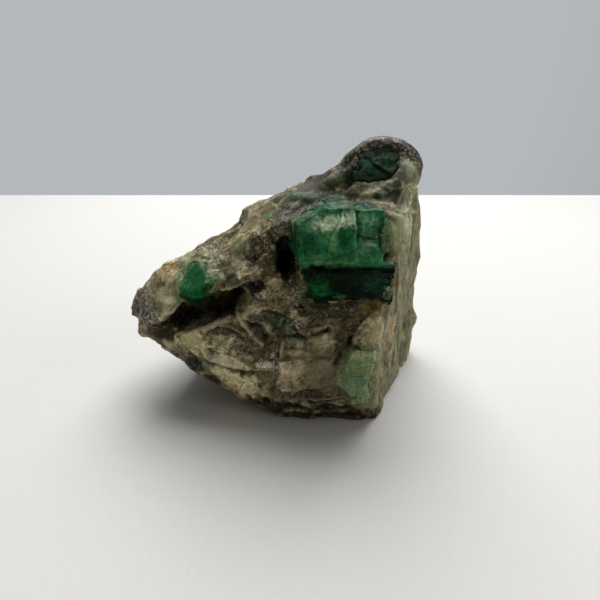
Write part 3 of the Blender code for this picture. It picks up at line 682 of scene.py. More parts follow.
stoneStrokes = {
    "arm lip's rim": [
        [(-15, -14.8, 28.5), (-13.6, -14.8, 28.2), (-9.8, -16.4, 30.5)], 0.35, (156, 146, 96), 0.6],
    "crack by the lens": [
        [(-4.2, -18.9, 14.8), (-3.0, -19.4, 13.6), (-2.4, -19.8, 12.4)], 0.25, (44, 36, 22), 0.7],
    "glint over the ledge": [
        [(-8.4, -16.4, 15.4), (-6.9, -17.2, 14.9), (-6.2, -17.6, 15.3)], 0.25, (216, 208, 184), 0.6],
    "glint by the lens": [
        [(-3.4, -19.3, 12.4), (-2.4, -19.8, 11.4), (-1.2, -20.1, 10.8)], 0.3, (222, 214, 190), 0.75],
    "vein": [veinLine, 0.5, (176, 158, 130), 0.9],
    "lower lip": [lipLine, 0.6, (158, 142, 110), 0.85],
    "ledge": [[(x, y, z + 0.2) for x, y, z in ledgeLine], 0.36, (206, 196, 158), 0.6],
    "ledge's shade": [[(x, y, z - 0.5) for x, y, z in ledgeLine], 0.35, (92, 80, 52), 0.5],
    "recess rim": [[(x, y, z + 0.4) for x, y, z in recessLine], 0.4, (150, 138, 106), 0.5],
    "recess shade": [[(x, y, z - 0.5) for x, y, z in recessLine], 0.5, (70, 60, 38), 0.6],
    "arc": [[(x + 0.3, y, z) for x, y, z in arcLine], 0.4, (186, 174, 140), 0.6],
    "cracks by the arc": [[(-3.4, -19.6, 13.2), (-2.4, -19.4, 9.3)], 0.3, (40, 32, 20), 0.7],
    "nose's shade": [noseLine[1:], 0.4, (22, 16, 10), 0.9],
    "pit by the nose": [[(1.0, -18.6, 21.5), (1.5, -18.8, 21)], 0.45, (10, 10, 8), 0.9],
    "vein in the green": [[(-2.2, -17.9, 20.0), (-0.5, -17.2, 21.9)], 0.3, (172, 178, 136), 0.85],
    "block's shade": [
        [(13.2, -17.3, 22.6), (11.6, -18.4, 20.8), (10.9, -19.6, 19.6), (10.9, -20.3, 18.4)], 0.45,
        (36, 28, 16), 0.9],
    "block's edge": [[(x + 0.5, y, z) for x, y, z in blockLine], 0.35, (202, 192, 158), 0.7],
    "cap's brow": [
        [(12, -3.2, 52.2), (15, -2.8, 53.5), (18.5, -2.8, 53.8), (21.2, -3.2, 52.8), (22.8, -4.4, 50.6)],
        0.5, (34, 32, 34), 0.85],
    "skyline, left": [
        [(-24.3, -6, 30.4), (-20.7, -4.6, 31.8), (-16.8, -2.4, 32.8), (-12.1, -0.2, 34.8)], 0.9,
        (74, 66, 46), 0.5],
    "skyline": [
        [(-7.8, -2, 40.4), (-1.2, -2.2, 43.6), (2.3, -0.7, 44.8), (6, 0.3, 46.6), (10.2, -2.6, 50)], 1.0,
        (46, 42, 32), 0.75],
    "left of the foot": [
        [(9.2, -20.6, 19.4), (9.4, -20.6, 17), (8.4, -20.6, 15.4), (9.6, -20.8, 14.8)], 0.5,
        (42, 34, 20), 0.85],
    "right of the lower block": [[(16.4, -18.6, 35.8), (17.2, -18.2, 32.5)], 0.8, (34, 44, 22), 0.9],
    "speck": [[(5.3, -19.7, 20.0)], 0.4, (8, 6, 5), 1.0],
    "speck, left": [[(-10.0, -15.9, 16.2), (-9.5, -16.1, 15.5)], 0.75, (8, 6, 5), 1.0],
    "speck, low": [[(1.9, -20.5, 10.9)], 0.35, (8, 6, 5), 1.0],
    "base pit, left": [[(-5.4, -17.0, 3.0), (-4.2, -17.2, 2.8)], 0.7, (14, 10, 8), 0.95],
    "base pit, middle": [[(-1.0, -20.0, 5.4), (0.5, -20.3, 5.1)], 0.6, (14, 10, 8), 0.95],
    "base crack": [
        [(3, -20.5, 6), (5, -20.6, 5.6), (7, -20.6, 6.2), (9, -20.9, 6.6)], 0.5, (24, 18, 8), 0.9],
    "base light": [
        [(-3, -18.6, 3.2), (2.3, -19.6, 2.4), (6.6, -19.4, 2), (11.7, -19.8, 2.7), (15.5, -20.6, 4.2)],
        0.4, (140, 124, 84), 0.6],
    "side crease": [
        [(18.2, -15.5, 43.0), (21.5, -9, 41.4), (25.3, -0.5, 39.9)], 0.35, (196, 184, 146), 0.6],
    "side seam": [[(20.4, -13.6, 20), (20.5, -13.6, 14), (21, -13, 8)], 0.4, (70, 58, 40), 0.6],
    "recess crack": [
        [(-14.2, -15.2, 17.2), (-12.4, -15.5, 16.6), (-10.2, -16.0, 16.2)], 0.25, (176, 162, 130), 0.6],
    "recess crack, dark": [
        [(-14.6, -15.2, 18.4), (-12.8, -15.2, 17.4), (-11.2, -15.4, 17.0)], 0.25, (40, 32, 18), 0.7],
}
paintedHollowShade = {  # painted shade: near-black dabs where light hardly reaches
    "undercut": [(-15.6, -9.5, 24.0), (9.6, 6.8, 4.8), (4, 4, 2), 0.98, 0.1],
    "undercut, right": [(-7.9, -16.3, 29.6), (2.7, 2, 1.6), (10, 9, 5), 0.96, 0.5],
    "undercut, left": [(-22.0, -9.5, 19.8), (4.0, 4.5, 2.5), (13, 10, 6), 0.93, 0.2],
    "cleft": [(-0.9, -10.5, 32.6), (2.2, 7, 2.7), (9, 9, 7), 0.95, 0.4],
    "beside the crystal": [(-0.8, -14.4, 32.8), (2.4, 6, 2.5), (9, 9, 7), 0.95, 0.6],
    "beside the vein": [(-7.0, -15.4, 20.8), (1.7, 2, 0.9), (26, 20, 8), 0.9, 0.2],
}
micaAndGlintZones = {  # centre, radii, how thick the mica flakes lie; the glints painted on them follow the same zones
    "left of the lower block": [(0.4, -18.5, 31), (2.4, 4, 4.4), 0.45],
    "lens": [(-4.6, -18.8, 13.4), (2.4, 2, 3.4), 1.0],
    "step's left border": [(-7.6, -16.4, 27.6), (1.6, 2.4, 3), 0.8],
    "step's right": [(0.6, -16.8, 27), (2.2, 2.4, 3), 0.6],
    "nose": [(1, -18, 22), (2, 2, 2), 0.9],
    "under the crystal": [(10, -16.8, 26), (3.4, 2.4, 1.8), 0.35],
    "block's left edge": [(12.2, -18.6, 21), (1.6, 2.4, 2.6), 0.8],
    "arm tip": [(-30, -9, 21.5), (5, 6, 5), 1.0],
    "arm": [(-18, -6, 31), (9, 7, 5), 0.45],
    "cap": [(18, -1, 52), (9, 8, 5), 0.6],
    "step": [(-4, -17, 28), (5, 4, 3), 0.55],
    "rib": [(-5, -10, 37), (5, 7, 5), 0.6],
    "left recess": [(-9, -15.6, 16), (5, 3, 3), 0.5],
}


def groundColours(start, onSplit):
    dark, quartz, pale, brown, schist = (
        srgb(*stoneGround[name]) for name in ("dark", "quartz", "pale", "brownSchist", "schist"))
    tone = 0.5 + 0.5 * cloud(start, 6.5, 3, 9)
    for seed, (size, strength) in enumerate(stone["toneGrains"], start=13):
        tone += strength * (grains(start, size, seed) - 0.5)
    colours = dark + (quartz - dark) * smoothStep(tone * 1.5)[:, None]
    colours += (pale - colours) * smoothStep(tone * 2 - 1.1)[:, None]
    streaks = cloud(start, 0.9, 4, 10, stretch=(1, 1, 8))
    split = brown + (schist - brown) * smoothStep(streaks * 0.8 + 0.55)[:, None]
    colours += (split - colours) * onSplit[:, None]
    return colours


def tintNearCrystals(start, colours, outside, ragged):
    across, height = start[:, :1], start[:, 2:]
    footHeight = stone["footHeight"]
    strength = stone["haze"] * smoothStep((stone["hazeReach"] - outside + 0.8 * ragged) / 1.8)
    strength *= np.where(height[:, 0] < footHeight, 0.6, 1)
    tint = np.where(height < footHeight, srgb(*stoneGround["footHaze"]), srgb(*stoneGround["haze"]))
    # under the main crystal the tint is painted shade
    shadeUnderCrystal = (across > 3) & (height > footHeight) & (height < 29.5)
    for here, name in (
            (shadeUnderCrystal, "shadeUnderCrystal"), ((height > 41) & (across < 13), "topHaze"),
            (height > 46.5, "capHaze"), (across < -8, "armHaze")):
        tint = np.where(here, srgb(*stoneGround[name]), tint)
    colours += (tint - colours) * strength[:, None]


def grainShade(start, normals, worn):  # grains of uneven brightness, and painted shade on level faces and at the back
    shade = np.zeros(len(start))
    for seed, (size, strength) in enumerate(stone["shadeGrains"], start=15):
        shade += strength * (grains(start, size, seed) - 0.5)
    shade = 1 + shade * (1 - 0.6 * worn)
    # painted shade: level faces and the back are made darker where the ceiling light falls on them
    shade *= 1 - stone["topShade"] * smoothStep((normals[:, 2] - 0.5) / 0.4)
    facingBack = smoothStep((normals[:, 1] + 0.1) / 0.6)
    shade *= 1 - stone["backShade"] * facingBack * smoothStep((start[:, 1] + 2) / 4)
    return shade


def paintStone(body, start, onSplit, outside, worn):
    ragged = cloud(start, 1.7, 4, 8)
    colours = groundColours(start, onSplit)
    paintPatches(start, colours, stoneDabs, ragged)
    paintStrokes(start, colours, stoneStrokes, cloud(start, 1.1, 2, 11))
    tintNearCrystals(start, colours, outside, ragged)
    normals = meshPoints(body)[1]
    fine, wide = proudness(body, 3), proudness(body, 24)
    fine = np.where(outside < 1.4, np.minimum(fine, 0), fine)  # no pale rim beside a crystal
    # painted shade darkens creases and painted light brightens proud edges
    creaseShadeAndEdgeLight = np.clip(1 + stone["creaseFine"] * fine + stone["creaseWide"] * wide, 0.3, 1.6)
    colours *= (grainShade(start, normals, worn) * creaseShadeAndEdgeLight)[:, None]
    # pale broken edges: partly wear, partly a painted highlight
    edges = stone["paleEdges"] * smoothStep((fine - 0.05) / 0.12) * (1 - 0.6 * onSplit)
    edges = edges * smoothStep(outside - 1.2)
    colours += (srgb(*stoneGround["pale"]) * 1.2 - colours) * edges[:, None]
    # painted shade in the hollows, laid over all other colours
    paintPatches(start, colours, paintedHollowShade, ragged, 0.5)
    storePaint(body, "stonePaint", colours)
    storePaint(body, "splitFace", onSplit)
    lit = smoothStep(colours[:, 1] / 0.03)  # neither flakes nor shine in the hollows
    # where mica flakes lie; this also places their painted glints
    micaAndGlint = smoothStep(0.2 + cloud(start, 7, 2, 12)) * 0.3
    for centre, radii, amount in micaAndGlintZones.values():
        micaAndGlint = np.maximum(micaAndGlint, amount * inEllipsoid(start, centre, radii, 0.4 * ragged))
    storePaint(body, "micaAndGlint", micaAndGlint * lit)
    storePaint(body, "worn", worn)
    upper = 1 - 0.85 * smoothStep((start[:, 2] - 37) / 4)
    gloss = stone["gloss"] * lit * upper * smoothStep((normals[:, 2] + 0.2) / 0.7) * (1 - 0.8 * onSplit)
    storePaint(body, "gloss", gloss)


def stoneMaterial():
    shade = Shade(
        bpy.data.materials.new("smokyQuartz"), Specular_IOR_Level=0.09, Coat_Roughness=0.18,
        Subsurface_Weight=0.08, Subsurface_Radius=(1.0, 0.8, 0.45), Subsurface_Scale=0.001)
    paint = shade.paint("stonePaint")
    micaAndGlint = shade.paint("micaAndGlint", "Fac")
    split = shade.paint("splitFace", "Fac")
    upright = shade.stretched((1, 1, 0.09))
    grit = shade.noise(0.7, 4)
    mottle = shade.noise(3.0, 5, distortion=0.8)
    streak = shade.noise(0.4, 5, place=upright)
    worn = shade.paint("worn", "Fac")
    rough = 1 - 0.6 * worn
    tone = 1 + (0.7 * (mottle - 0.5) + 0.5 * (grit - 0.5)) * rough
    grain = shade.cells(0.3, output="Color") - 0.5
    tone = shade.mix(split, tone, 0.4 + 0.9 * streak + 0.3 * grit) + grain * (0.25 + 0.5 * rough + 1.2 * micaAndGlint)
    base = shade.mix(1.0, paint, tone, blend="MULTIPLY")
    veins = shade.ramp(abs(shade.noise(3.4, 5, distortion=1.2) - 0.5), 0.014, 0.0) * (1 - split)
    base = shade.mix(veins * 0.26, base, colour(182, 170, 134))
    cracks = shade.ramp(shade.cells(2.1, feature="DISTANCE_TO_EDGE"), 0.05, 0.0)
    cracks = cracks * shade.ramp(mottle, 0.55, 0.42)
    base = shade.mix(cracks * 0.62 * (1 - split), base, colour(32, 25, 12))
    # pale mica flecks, painted brighter as glints
    flecks = shade.ramp(shade.cells(0.42, output="Color"), 0.70, 0.80) * micaAndGlint
    base = shade.mix(flecks * 0.6, base, colour(196, 188, 158))
    # painted glints along fine cracks in the mica zones
    crackGlints = shade.ramp(shade.cells(1.3, feature="DISTANCE_TO_EDGE"), 0.045, 0.015)
    crackGlints = crackGlints * shade.ramp(grit, 0.50, 0.58)
    base = shade.mix(crackGlints * micaAndGlint * 0.7, base, colour(208, 204, 180))
    glints = shade.ramp(shade.cells(0.26, output="Color"), 0.76, 0.84)
    glints = glints * shade.ramp(shade.noise(2.6, 3), 0.50, 0.66) * micaAndGlint
    base = shade.mix(glints * 0.6, base, colour(226, 222, 204))
    uneven = shade.stretched((1.1, 0.9, 1.0))
    darkFlecks = shade.ramp(shade.cells(0.6, output="Color", place=uneven), 0.32, 0.24) * micaAndGlint
    base = shade.mix(darkFlecks * 0.7, base, colour(30, 26, 20))
    relief = shade.bump(shade.facets(2.2), 0.26, rough * (1 - 0.8 * split))
    relief = shade.bump(shade.facets(0.8), 0.12, rough * (0.5 + 0.5 * micaAndGlint), normal=relief)
    relief = shade.bump(grit, 0.10, rough, normal=relief)
    relief = shade.bump(streak, 0.22, 0.7 * split, normal=relief)
    roughness = 0.45 + 0.3 * (mottle - 0.5) - 0.1 * flecks + 0.14 * split
    glaze = shade.paint("gloss", "Fac") * shade.ramp(grit, 0.45, 0.6)
    return shade.into(Base_Color=base, Roughness=roughness, Coat_Weight=glaze, Normal=relief)


crystalSurfaces = surfaceTree(crystalNodes)
rockSurface = surfaceTree(["matrix"])
body = rawStone()
print("stone remeshed", len(body.data.polygons), "faces")
paintStone(body, *carveStone(body))
body.data.materials.append(stoneMaterial())
selectOnly(body)
bpy.ops.object.shade_smooth()
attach(body, "root")
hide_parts("matrix")
print("stone carved and painted")


crystalFit = 0.47  # how far each crystal is let out to meet the stone
# "grain" is the distance between a crystal's points, "wear" the width of its worn edges, "chips" and
# "grit" the size and height of its relief, and "warp" how far it wavers. "edge" is the colour of the
# painted highlight on its sharp edges. It carries painted shade under the height given for that
# shade, in the shade's colour, and is painted darker beyond the depth "behind". "rim" is the width of
# the stain along its border.
crystals = {
    "main_emerald": {
        "name": "mainCrystal", "gloss": 0.2, "grain": 0.22, "wear": 0.5, "chips": (3.2, 0.20),
        "grit": (0.7, 0.09), "warp": 0.3,
        "base": (39, 103, 61), "edge": (92, 134, 98), "shadeBelow": 36.2, "shadeColour": (3, 20, 8),
        "behind": -16.5, "rim": 2.0, "rimColour": (20, 34, 20)},
    "arm_emerald": {
        "name": "armCrystal", "gloss": 0.2, "grain": 0.20, "wear": 1.0, "chips": (1.6, 0.05),
        "grit": (0.8, 0.04), "warp": 0.2,
        "base": (24, 92, 48), "edge": (70, 126, 84), "shadeBelow": 27.6, "shadeColour": (5, 34, 14),
        "behind": 50, "rim": 1.7, "rimColour": (70, 86, 50)},
    "cap_emerald": {
        "name": "capCrystal", "gloss": 0.05, "grain": 0.20, "wear": 0.6, "chips": (1.8, 0.1),
        "grit": (0.7, 0.05), "warp": 0.3,
        "base": (18, 40, 24), "edge": (46, 68, 50), "shadeBelow": 47.6, "shadeColour": (5, 14, 8),
        "behind": 50, "rim": 1.8, "rimColour": (36, 38, 24)},
    "foot_emerald": {
        "name": "footCrystal", "gloss": 0.12, "grain": 0.20, "wear": 0.25, "chips": (2.2, 0.16),
        "grit": (0.8, 0.06), "warp": 0.2,
        "base": (118, 138, 96), "edge": (150, 164, 128), "shadeBelow": 0, "shadeColour": (90, 110, 80),
        "behind": 50, "rim": 1.3, "rimColour": (122, 126, 92)},
}
slitLine = [(9.8, -18.4, 41), (9.7, -19.6, 39), (9.9, -20.8, 37)]
crystalSteps = {  # broken edges, as on the stone
    "main_emerald": {
        "left block": [[(9.7, -14, 44.8), (9.7, -17.4, 43.6), (9.7, -21.4, 36.8)], (-1, 0, 0), 3.0, 0.4],
        "slant": [[(7.4, -17.8, 43.4), (5.6, -19.6, 40.4), (4.6, -21, 37.8)], (1, 0, 0.3), 1.8, 0.25],
        "right block's shelf": [[(10.2, -18.6, 40.9), (13.3, -18.9, 40.5)], (0, 0, 1), 1.8, 0.3],
        "right strip": [[(13.9, -18.4, 42), (14.1, -20, 38.6), (14.6, -21, 37)], (1, 0, 0), 1.2, 0.25],
        "lower block": [
            [(0.5, -22, 36), (4, -22.2, 36), (10, -22.2, 36.1), (16, -22, 36)], (0, 0, 1), 5.5, 0.35],
        "lower left": [[(4.6, -21, 34.4), (5, -19, 31), (5.6, -17.6, 28.4)], (-1, 0, 0), 1.8, 0.25],
        "lower right": [[(11.6, -21, 34.6), (11.2, -19, 31)], (1, 0, 0), 2, 0.3],
        "top stripe": [[(3.4, -14.6, 44.7), (9.4, -15, 44.9)], (0, 1, 0), 1.2, -0.35],
        "top stripe, back": [[(4.4, -12.6, 44.7), (9.4, -12.9, 44.9)], (0, 1, 0), 1.2, 0.3],
    },
    "arm_emerald": {},
    "cap_emerald": {
        "slant": [[(14, -6, 51.4), (16, -6.8, 49.6), (18.4, -6.8, 48.6)], (0, 0, 1), 1.6, 0.3],
    },
    "foot_emerald": {
        "middle": [[(11.4, -22, 15.4), (14.6, -22, 15.6)], (0, 0, 1), 1.6, 0.2],
    },
}
crystalCuts = {
    "main_emerald": {
        "slit": [slitLine, 0.5, -0.8],
        "black notch": [[(2.2, -22.3, 36.3), (3.9, -22.3, 36.2)], 0.7, -0.8],
        "notch, middle": [[(8.2, -22.3, 36.2), (9.6, -22.3, 36.2)], 0.5, -0.4],
    },
    "arm_emerald": {},
    "cap_emerald": {"slit": [[(12.6, -6.6, 47.8), (15.4, -7.2, 47.6)], 0.5, -0.4]},
    "foot_emerald": {"slit": [[(15.4, -21.2, 13), (15.2, -21.4, 10.2)], 0.35, -0.4]},
}
crystalDabs = {
    "main_emerald": {
        "haze, left": [(2.6, -18.4, 42.0), (3.2, 2.4, 2.4), (108, 160, 118), 0.75, 0.4],
        # painted highlight: pale paint along the up-facing top edge and its corner
        "highlight along the top edge": [(5.6, -18.2, 42.6), (4.4, 2.2, 1.7), (222, 240, 202), 0.85, 0.4],
        "highlight on the top corner": [(8.5, -17.4, 43.0), (1.3, 2.4, 2.0), (210, 228, 188), 0.75, 0.4],
        "slanting band": [(5.6, -19.4, 40.6), (1.4, 2.6, 3.2), (104, 150, 100), 0.6, 0.45],
        "left end": [(0.2, -18.0, 38.9), (3.3, 5, 4.6), (3, 22, 12), 0.92, 0.5],
        "deep green": [(2.4, -20.2, 38.8), (2.2, 2.6, 2.2), (16, 76, 44), 0.7, 0.6],
        "green heart": [(7.9, -19.8, 39.8), (1.5, 2.6, 2.8), (12, 88, 42), 0.85, 0.5],
        "low edge": [(5.0, -21.4, 37.2), (5, 1.6, 0.9), (58, 104, 66), 0.6, 0.8],
        "top strip": [(6, -14.8, 44.6), (5.5, 2.0, 1.2), (48, 84, 58), 0.85, 0.6],
        "top strip, dark": [(5, -16.6, 44.6), (4.6, 0.6, 1.0), (12, 30, 18), 0.85, 0.5],
        "top back": [(5, -10, 43.4), (7, 3.4, 3), (26, 44, 32), 0.9, 0.6],
        "rock crumbs": [(8.8, -14.0, 44.6), (1.8, 2.2, 1.2), (84, 92, 64), 0.85, 0.9],
        "right top": [(12.2, -15.0, 44.6), (2.4, 2, 1.2), (50, 86, 58), 0.6, 0.9],
        "right upper block": [(11.9, -17.9, 42.6), (2.3, 2, 1.8), (112, 158, 122), 0.85, 0.7],
        "right lower block": [(11.8, -19.6, 38.9), (2.3, 2.6, 2.4), (104, 138, 110), 0.8, 0.8],
        "right strip": [(14.9, -19.0, 39.6), (1.1, 3, 4.4), (84, 114, 78), 0.85, 0.5],
        "right end": [(16.4, -20.6, 36.4), (1.8, 3, 1.2), (34, 46, 24), 0.95, 0.4],
        "lower left": [(4.0, -19.4, 31.4), (2.8, 3.4, 4.4), (18, 82, 38), 0.9, 0.5],
        "lower black": [(7.2, -20.0, 32.0), (1.8, 3, 1.8), (4, 12, 6), 0.85, 0.6],
        "lower wedge": [(10.4, -18.6, 29.6), (1.7, 3, 3.4), (4, 8, 5), 0.9, 0.5],
        "lower teal": [(13.4, -20.4, 32.8), (2.8, 3, 3.4), (14, 54, 36), 0.85, 0.5],
        "lower foot": [(8.2, -18.2, 28.9), (1.6, 2, 0.8), (52, 96, 62), 0.8, 0.7],
        # painted highlight on the right corner
        "highlight on the right corner": [(16.6, -19.0, 30.6), (0.7, 3, 1.9), (110, 156, 130), 0.7, 1.8],
    },
    "arm_emerald": {
        "deep side": [(-15.8, -15.0, 28.4), (3.2, 2.6, 2.5), (4, 34, 14), 0.9, 0.4],
        "pale edge": [(-22.4, -10.4, 29.4), (2.4, 3.4, 2.6), (120, 132, 84), 0.9, 0.6],
        "pale top": [(-19.6, -8.2, 31.4), (3.4, 2.2, 1.5), (104, 124, 78), 0.85, 0.6],
        "bright heart": [(-17.4, -11.4, 30.9), (2.0, 2.2, 1.8), (24, 98, 50), 0.7, 0.6],
        "sheen": [(-20.2, -12.8, 28.2), (1.6, 1.6, 1.6), (84, 140, 98), 0.55, 1.2],
    },
    "cap_emerald": {
        "dark heart": [(16.4, -5.6, 50), (3.2, 3, 1.8), (12, 36, 22), 0.6, 0.8],
        "grey top": [(14.4, -5, 51.8), (3.2, 2, 1.1), (66, 84, 74), 0.6, 0.7],
        "green slant": [(13.6, -6, 50.4), (1.5, 3, 1.4), (34, 76, 48), 0.7, 0.9],
        "green, right": [(18.4, -5, 50.8), (1.7, 2.4, 1.8), (36, 80, 52), 0.75, 0.9],
        "green, low": [(16.6, -6.6, 48.2), (2.4, 2, 1.0), (24, 54, 28), 0.6, 0.9],
        "black": [(13.2, -6.6, 48.2), (1.9, 2, 1.2), (7, 9, 5), 0.9, 0.5],
    },
    "foot_emerald": {
        "pale top": [(13.2, -21.4, 18.0), (3.8, 2, 1.4), (158, 168, 126), 0.9, 0.5],
        "upper": [(13.0, -21.6, 15.9), (3.2, 2, 1.5), (116, 144, 104), 0.7, 0.7],
        "yellow band": [(13.6, -21.6, 14.9), (1.9, 2, 0.8), (146, 152, 92), 0.55, 1.0],
        "left": [(10.6, -22, 13.6), (2.0, 2, 2.8), (86, 108, 80), 0.8, 0.6],
        "middle": [(13, -22, 11.8), (2.2, 2, 1.4), (94, 126, 92), 0.7, 0.7],
        "point": [(14.4, -21.4, 8.4), (1.8, 2, 2.8), (118, 146, 120), 0.8, 0.6],
        "pale strip": [(16, -21.2, 12), (0.6, 2, 4.6), (156, 164, 124), 0.8, 0.5],
    },
}
crystalStrokes = {
    "main_emerald": {
        "groove over the ridge": [
            [(1.2, -17.9, 42.9), (5.0, -17.4, 43.9), (9.4, -16.9, 44.7)], 0.75, (34, 70, 46), 0.85],
        # painted highlight along the top ridge
        "highlight on the ridge": [
            [(2.4, -18.5, 42.1), (5.6, -18.1, 42.9), (8.9, -17.5, 43.9)], 0.4, (196, 214, 172), 0.6],
        "groove behind": [
            [(2.4, -14.0, 42.6), (5.4, -13.8, 44.2), (10, -13.4, 44.6)], 0.6, (14, 28, 20), 0.8],
        "slit": [slitLine, 0.5, (30, 34, 16), 0.9],
        "upright streak": [
            [(9.3, -15.6, 44.8), (9.3, -17.8, 43), (9.2, -19.4, 40.6)], 0.4, (120, 134, 90), 0.7],
        "upright streak, low": [[(9.0, -19.8, 40), (8.9, -21.4, 37.2)], 0.4, (84, 126, 76), 0.6],
        "slant": [[(8.4, -17.4, 43.8), (6.6, -18.6, 42.0), (5.4, -19.8, 40.1)], 0.4, (138, 158, 112), 0.6],
        "slant, second": [
            [(5.8, -17.6, 43.6), (4.8, -18.4, 42.4), (4.0, -19.4, 40.8)], 0.3, (134, 156, 108), 0.5],
        "slant, short": [
            [(5.2, -18.2, 42.8), (6.4, -18.0, 43.0), (7.6, -17.5, 43.7)], 0.3, (196, 204, 164), 0.7],
        "light stripe": [
            [(3.4, -15.6, 44.8), (6.0, -15.8, 44.8), (8.6, -15.6, 44.8)], 0.25, (86, 116, 84), 0.7],
        "light stripe, back": [[(4.0, -13.9, 44.8), (8.4, -14.0, 44.8)], 0.25, (74, 104, 76), 0.6],
        "wedge's edge": [[(8.4, -21.0, 34), (9.8, -19.6, 31.4), (9.6, -18.2, 29)], 0.3, (34, 76, 46), 0.5],
        "shelf": [[(10.4, -18.8, 40.8), (12, -18.9, 40.7), (13.3, -19, 40.5)], 0.35, (150, 176, 156), 0.7],
        "shelf, low": [[(11, -19.8, 39.3), (13.2, -20, 39.0)], 0.3, (120, 156, 134), 0.5],
        "right edge": [[(13.7, -18.2, 42.6), (13.5, -18.6, 41.2)], 0.35, (176, 186, 140), 0.8],
        "beside the strip": [[(14.0, -18.8, 41.4), (14.3, -20.4, 38)], 0.3, (26, 60, 34), 0.8],
        # painted shadow under the overhanging upper block
        "shadow under the upper block": [
            [(0.6, -22.2, 36.1), (8, -22.4, 36), (16, -22.2, 36)], 0.5, (8, 18, 10), 0.9],
        "pale base": [[(2, -22, 36.9), (6, -22.1, 36.8), (9, -22.1, 36.9)], 0.3, (96, 122, 78), 0.5],
        "left fringe": [[(2.4, -21.4, 35), (3.0, -19.6, 31.8), (3.6, -18, 29)], 0.4, (40, 84, 46), 0.6],
        "black notch": [[(2.2, -22.4, 36.2), (3.9, -22.4, 36.1)], 0.7, (4, 5, 4), 0.95],
    },
    "arm_emerald": {},
    "cap_emerald": {},
    "foot_emerald": {
        "slit": [[(15.4, -21.4, 13), (15.2, -21.6, 10.2)], 0.3, (34, 44, 24), 0.9],
        "right edge": [
            [(15.6, -21.2, 17.2), (15.3, -21.4, 14), (15.4, -21.4, 8)], 0.35, (176, 188, 144), 0.7],
        "level crack": [[(11.4, -22.2, 13.4), (13.6, -22.2, 13.3)], 0.25, (60, 76, 40), 0.6],
    },
}


def wobble(places, size, seed):  # a soft shift of every point, as a vector
    shift = patternShift("wobble", seed)
    return np.array([noise.noise_vector(Vector(p) + shift) for p in places / size])


def carveCrystal(node, plan):
    obj = workingCopy(node, plan["name"])
    inflate(obj, crystalFit)
    finishModifier(
        obj, "BEVEL", width=plan["wear"] * mm, segments=2, limit_method="ANGLE", angle_limit=math.radians(20))
    finishModifier(obj, "REMESH", mode="VOXEL", voxel_size=plan["grain"] * mm)
    finishModifier(obj, "SMOOTH", factor=0.5, iterations=4)
    places, normals = meshPoints(obj)
    start = places.copy()
    size, height = plan["chips"]
    moves = chips(start, size, 21, stretch=(1.6, 1, 1)) * height
    size, height = plan["grit"]
    moves += cloud(start, size, 3, 22) * height
    for line, up, reach, rise in crystalSteps[node].values():
        moves += stepAlong(start, line, up, reach, rise)
    for line, width, rise in crystalCuts[node].values():
        moves += rise * stroke(start, line, width)
    cover = rockCover(start)
    moves = moves * (1 - cover) - 0.7 * cover
    places += normals * moves[:, None] + wobble(start, 1.9, 28) * (plan["warp"] * (1 - cover))[:, None]
    movePoints(obj, places)
    colours = np.tile(srgb(*plan["base"]), (len(start), 1))
    colours *= (1 + 0.25 * cloud(start, 1.6, 3, 24))[:, None]
    ragged = cloud(start, 1.2, 4, 23, stretch=(0.6, 1, 1.5)) + 0.6 * cloud(start, 0.6, 3, 29)
    # painted shade on the lower faces, under the height given for it
    below = smoothStep((plan["shadeBelow"] - start[:, 2] + 0.1 * ragged) / 0.6)[:, None]
    colours += (srgb(*plan["shadeColour"]) - colours) * below
    paintPatches(start, colours, crystalDabs[node], ragged, 0.9)
    border = 0.85 * smoothStep((plan["rim"] - distanceTo(rockSurface, start) + 0.5 * ragged) / 1.4)
    colours += (srgb(*plan["rimColour"]) - colours) * border[:, None]
    paintStrokes(start, colours, crystalStrokes[node], cloud(start, 0.9, 3, 26))
    fine, wide = proudness(obj, 3), proudness(obj, 20)
    fine *= 1 - 0.8 * smoothStep((start[:, 1] - plan["behind"]) / 1.5)
    # painted light on proud edges, painted shade in creases, then a painted highlight along sharp edges
    colours *= np.clip(1 + 5 * fine + 1.2 * wide, 0.3, 1.25)[:, None]
    colours += (srgb(*plan["edge"]) - colours) * (0.1 * smoothStep((fine - 0.04) / 0.1))[:, None]
    # painted shade on up-facing faces and beyond the depth "behind"
    colours *= 1 - 0.5 * smoothStep((meshPoints(obj)[1][:, 2:] - 0.65) / 0.25)
    colours *= 1 - 0.45 * smoothStep((start[:, 1:2] - plan["behind"] - 0.5) / 1.5)
    storePaint(obj, "crystalPaint", colours)
    storePaint(obj, "gloss", plan["gloss"] * smoothStep((normals[:, 2] - 0.1) / 0.5))
    return obj


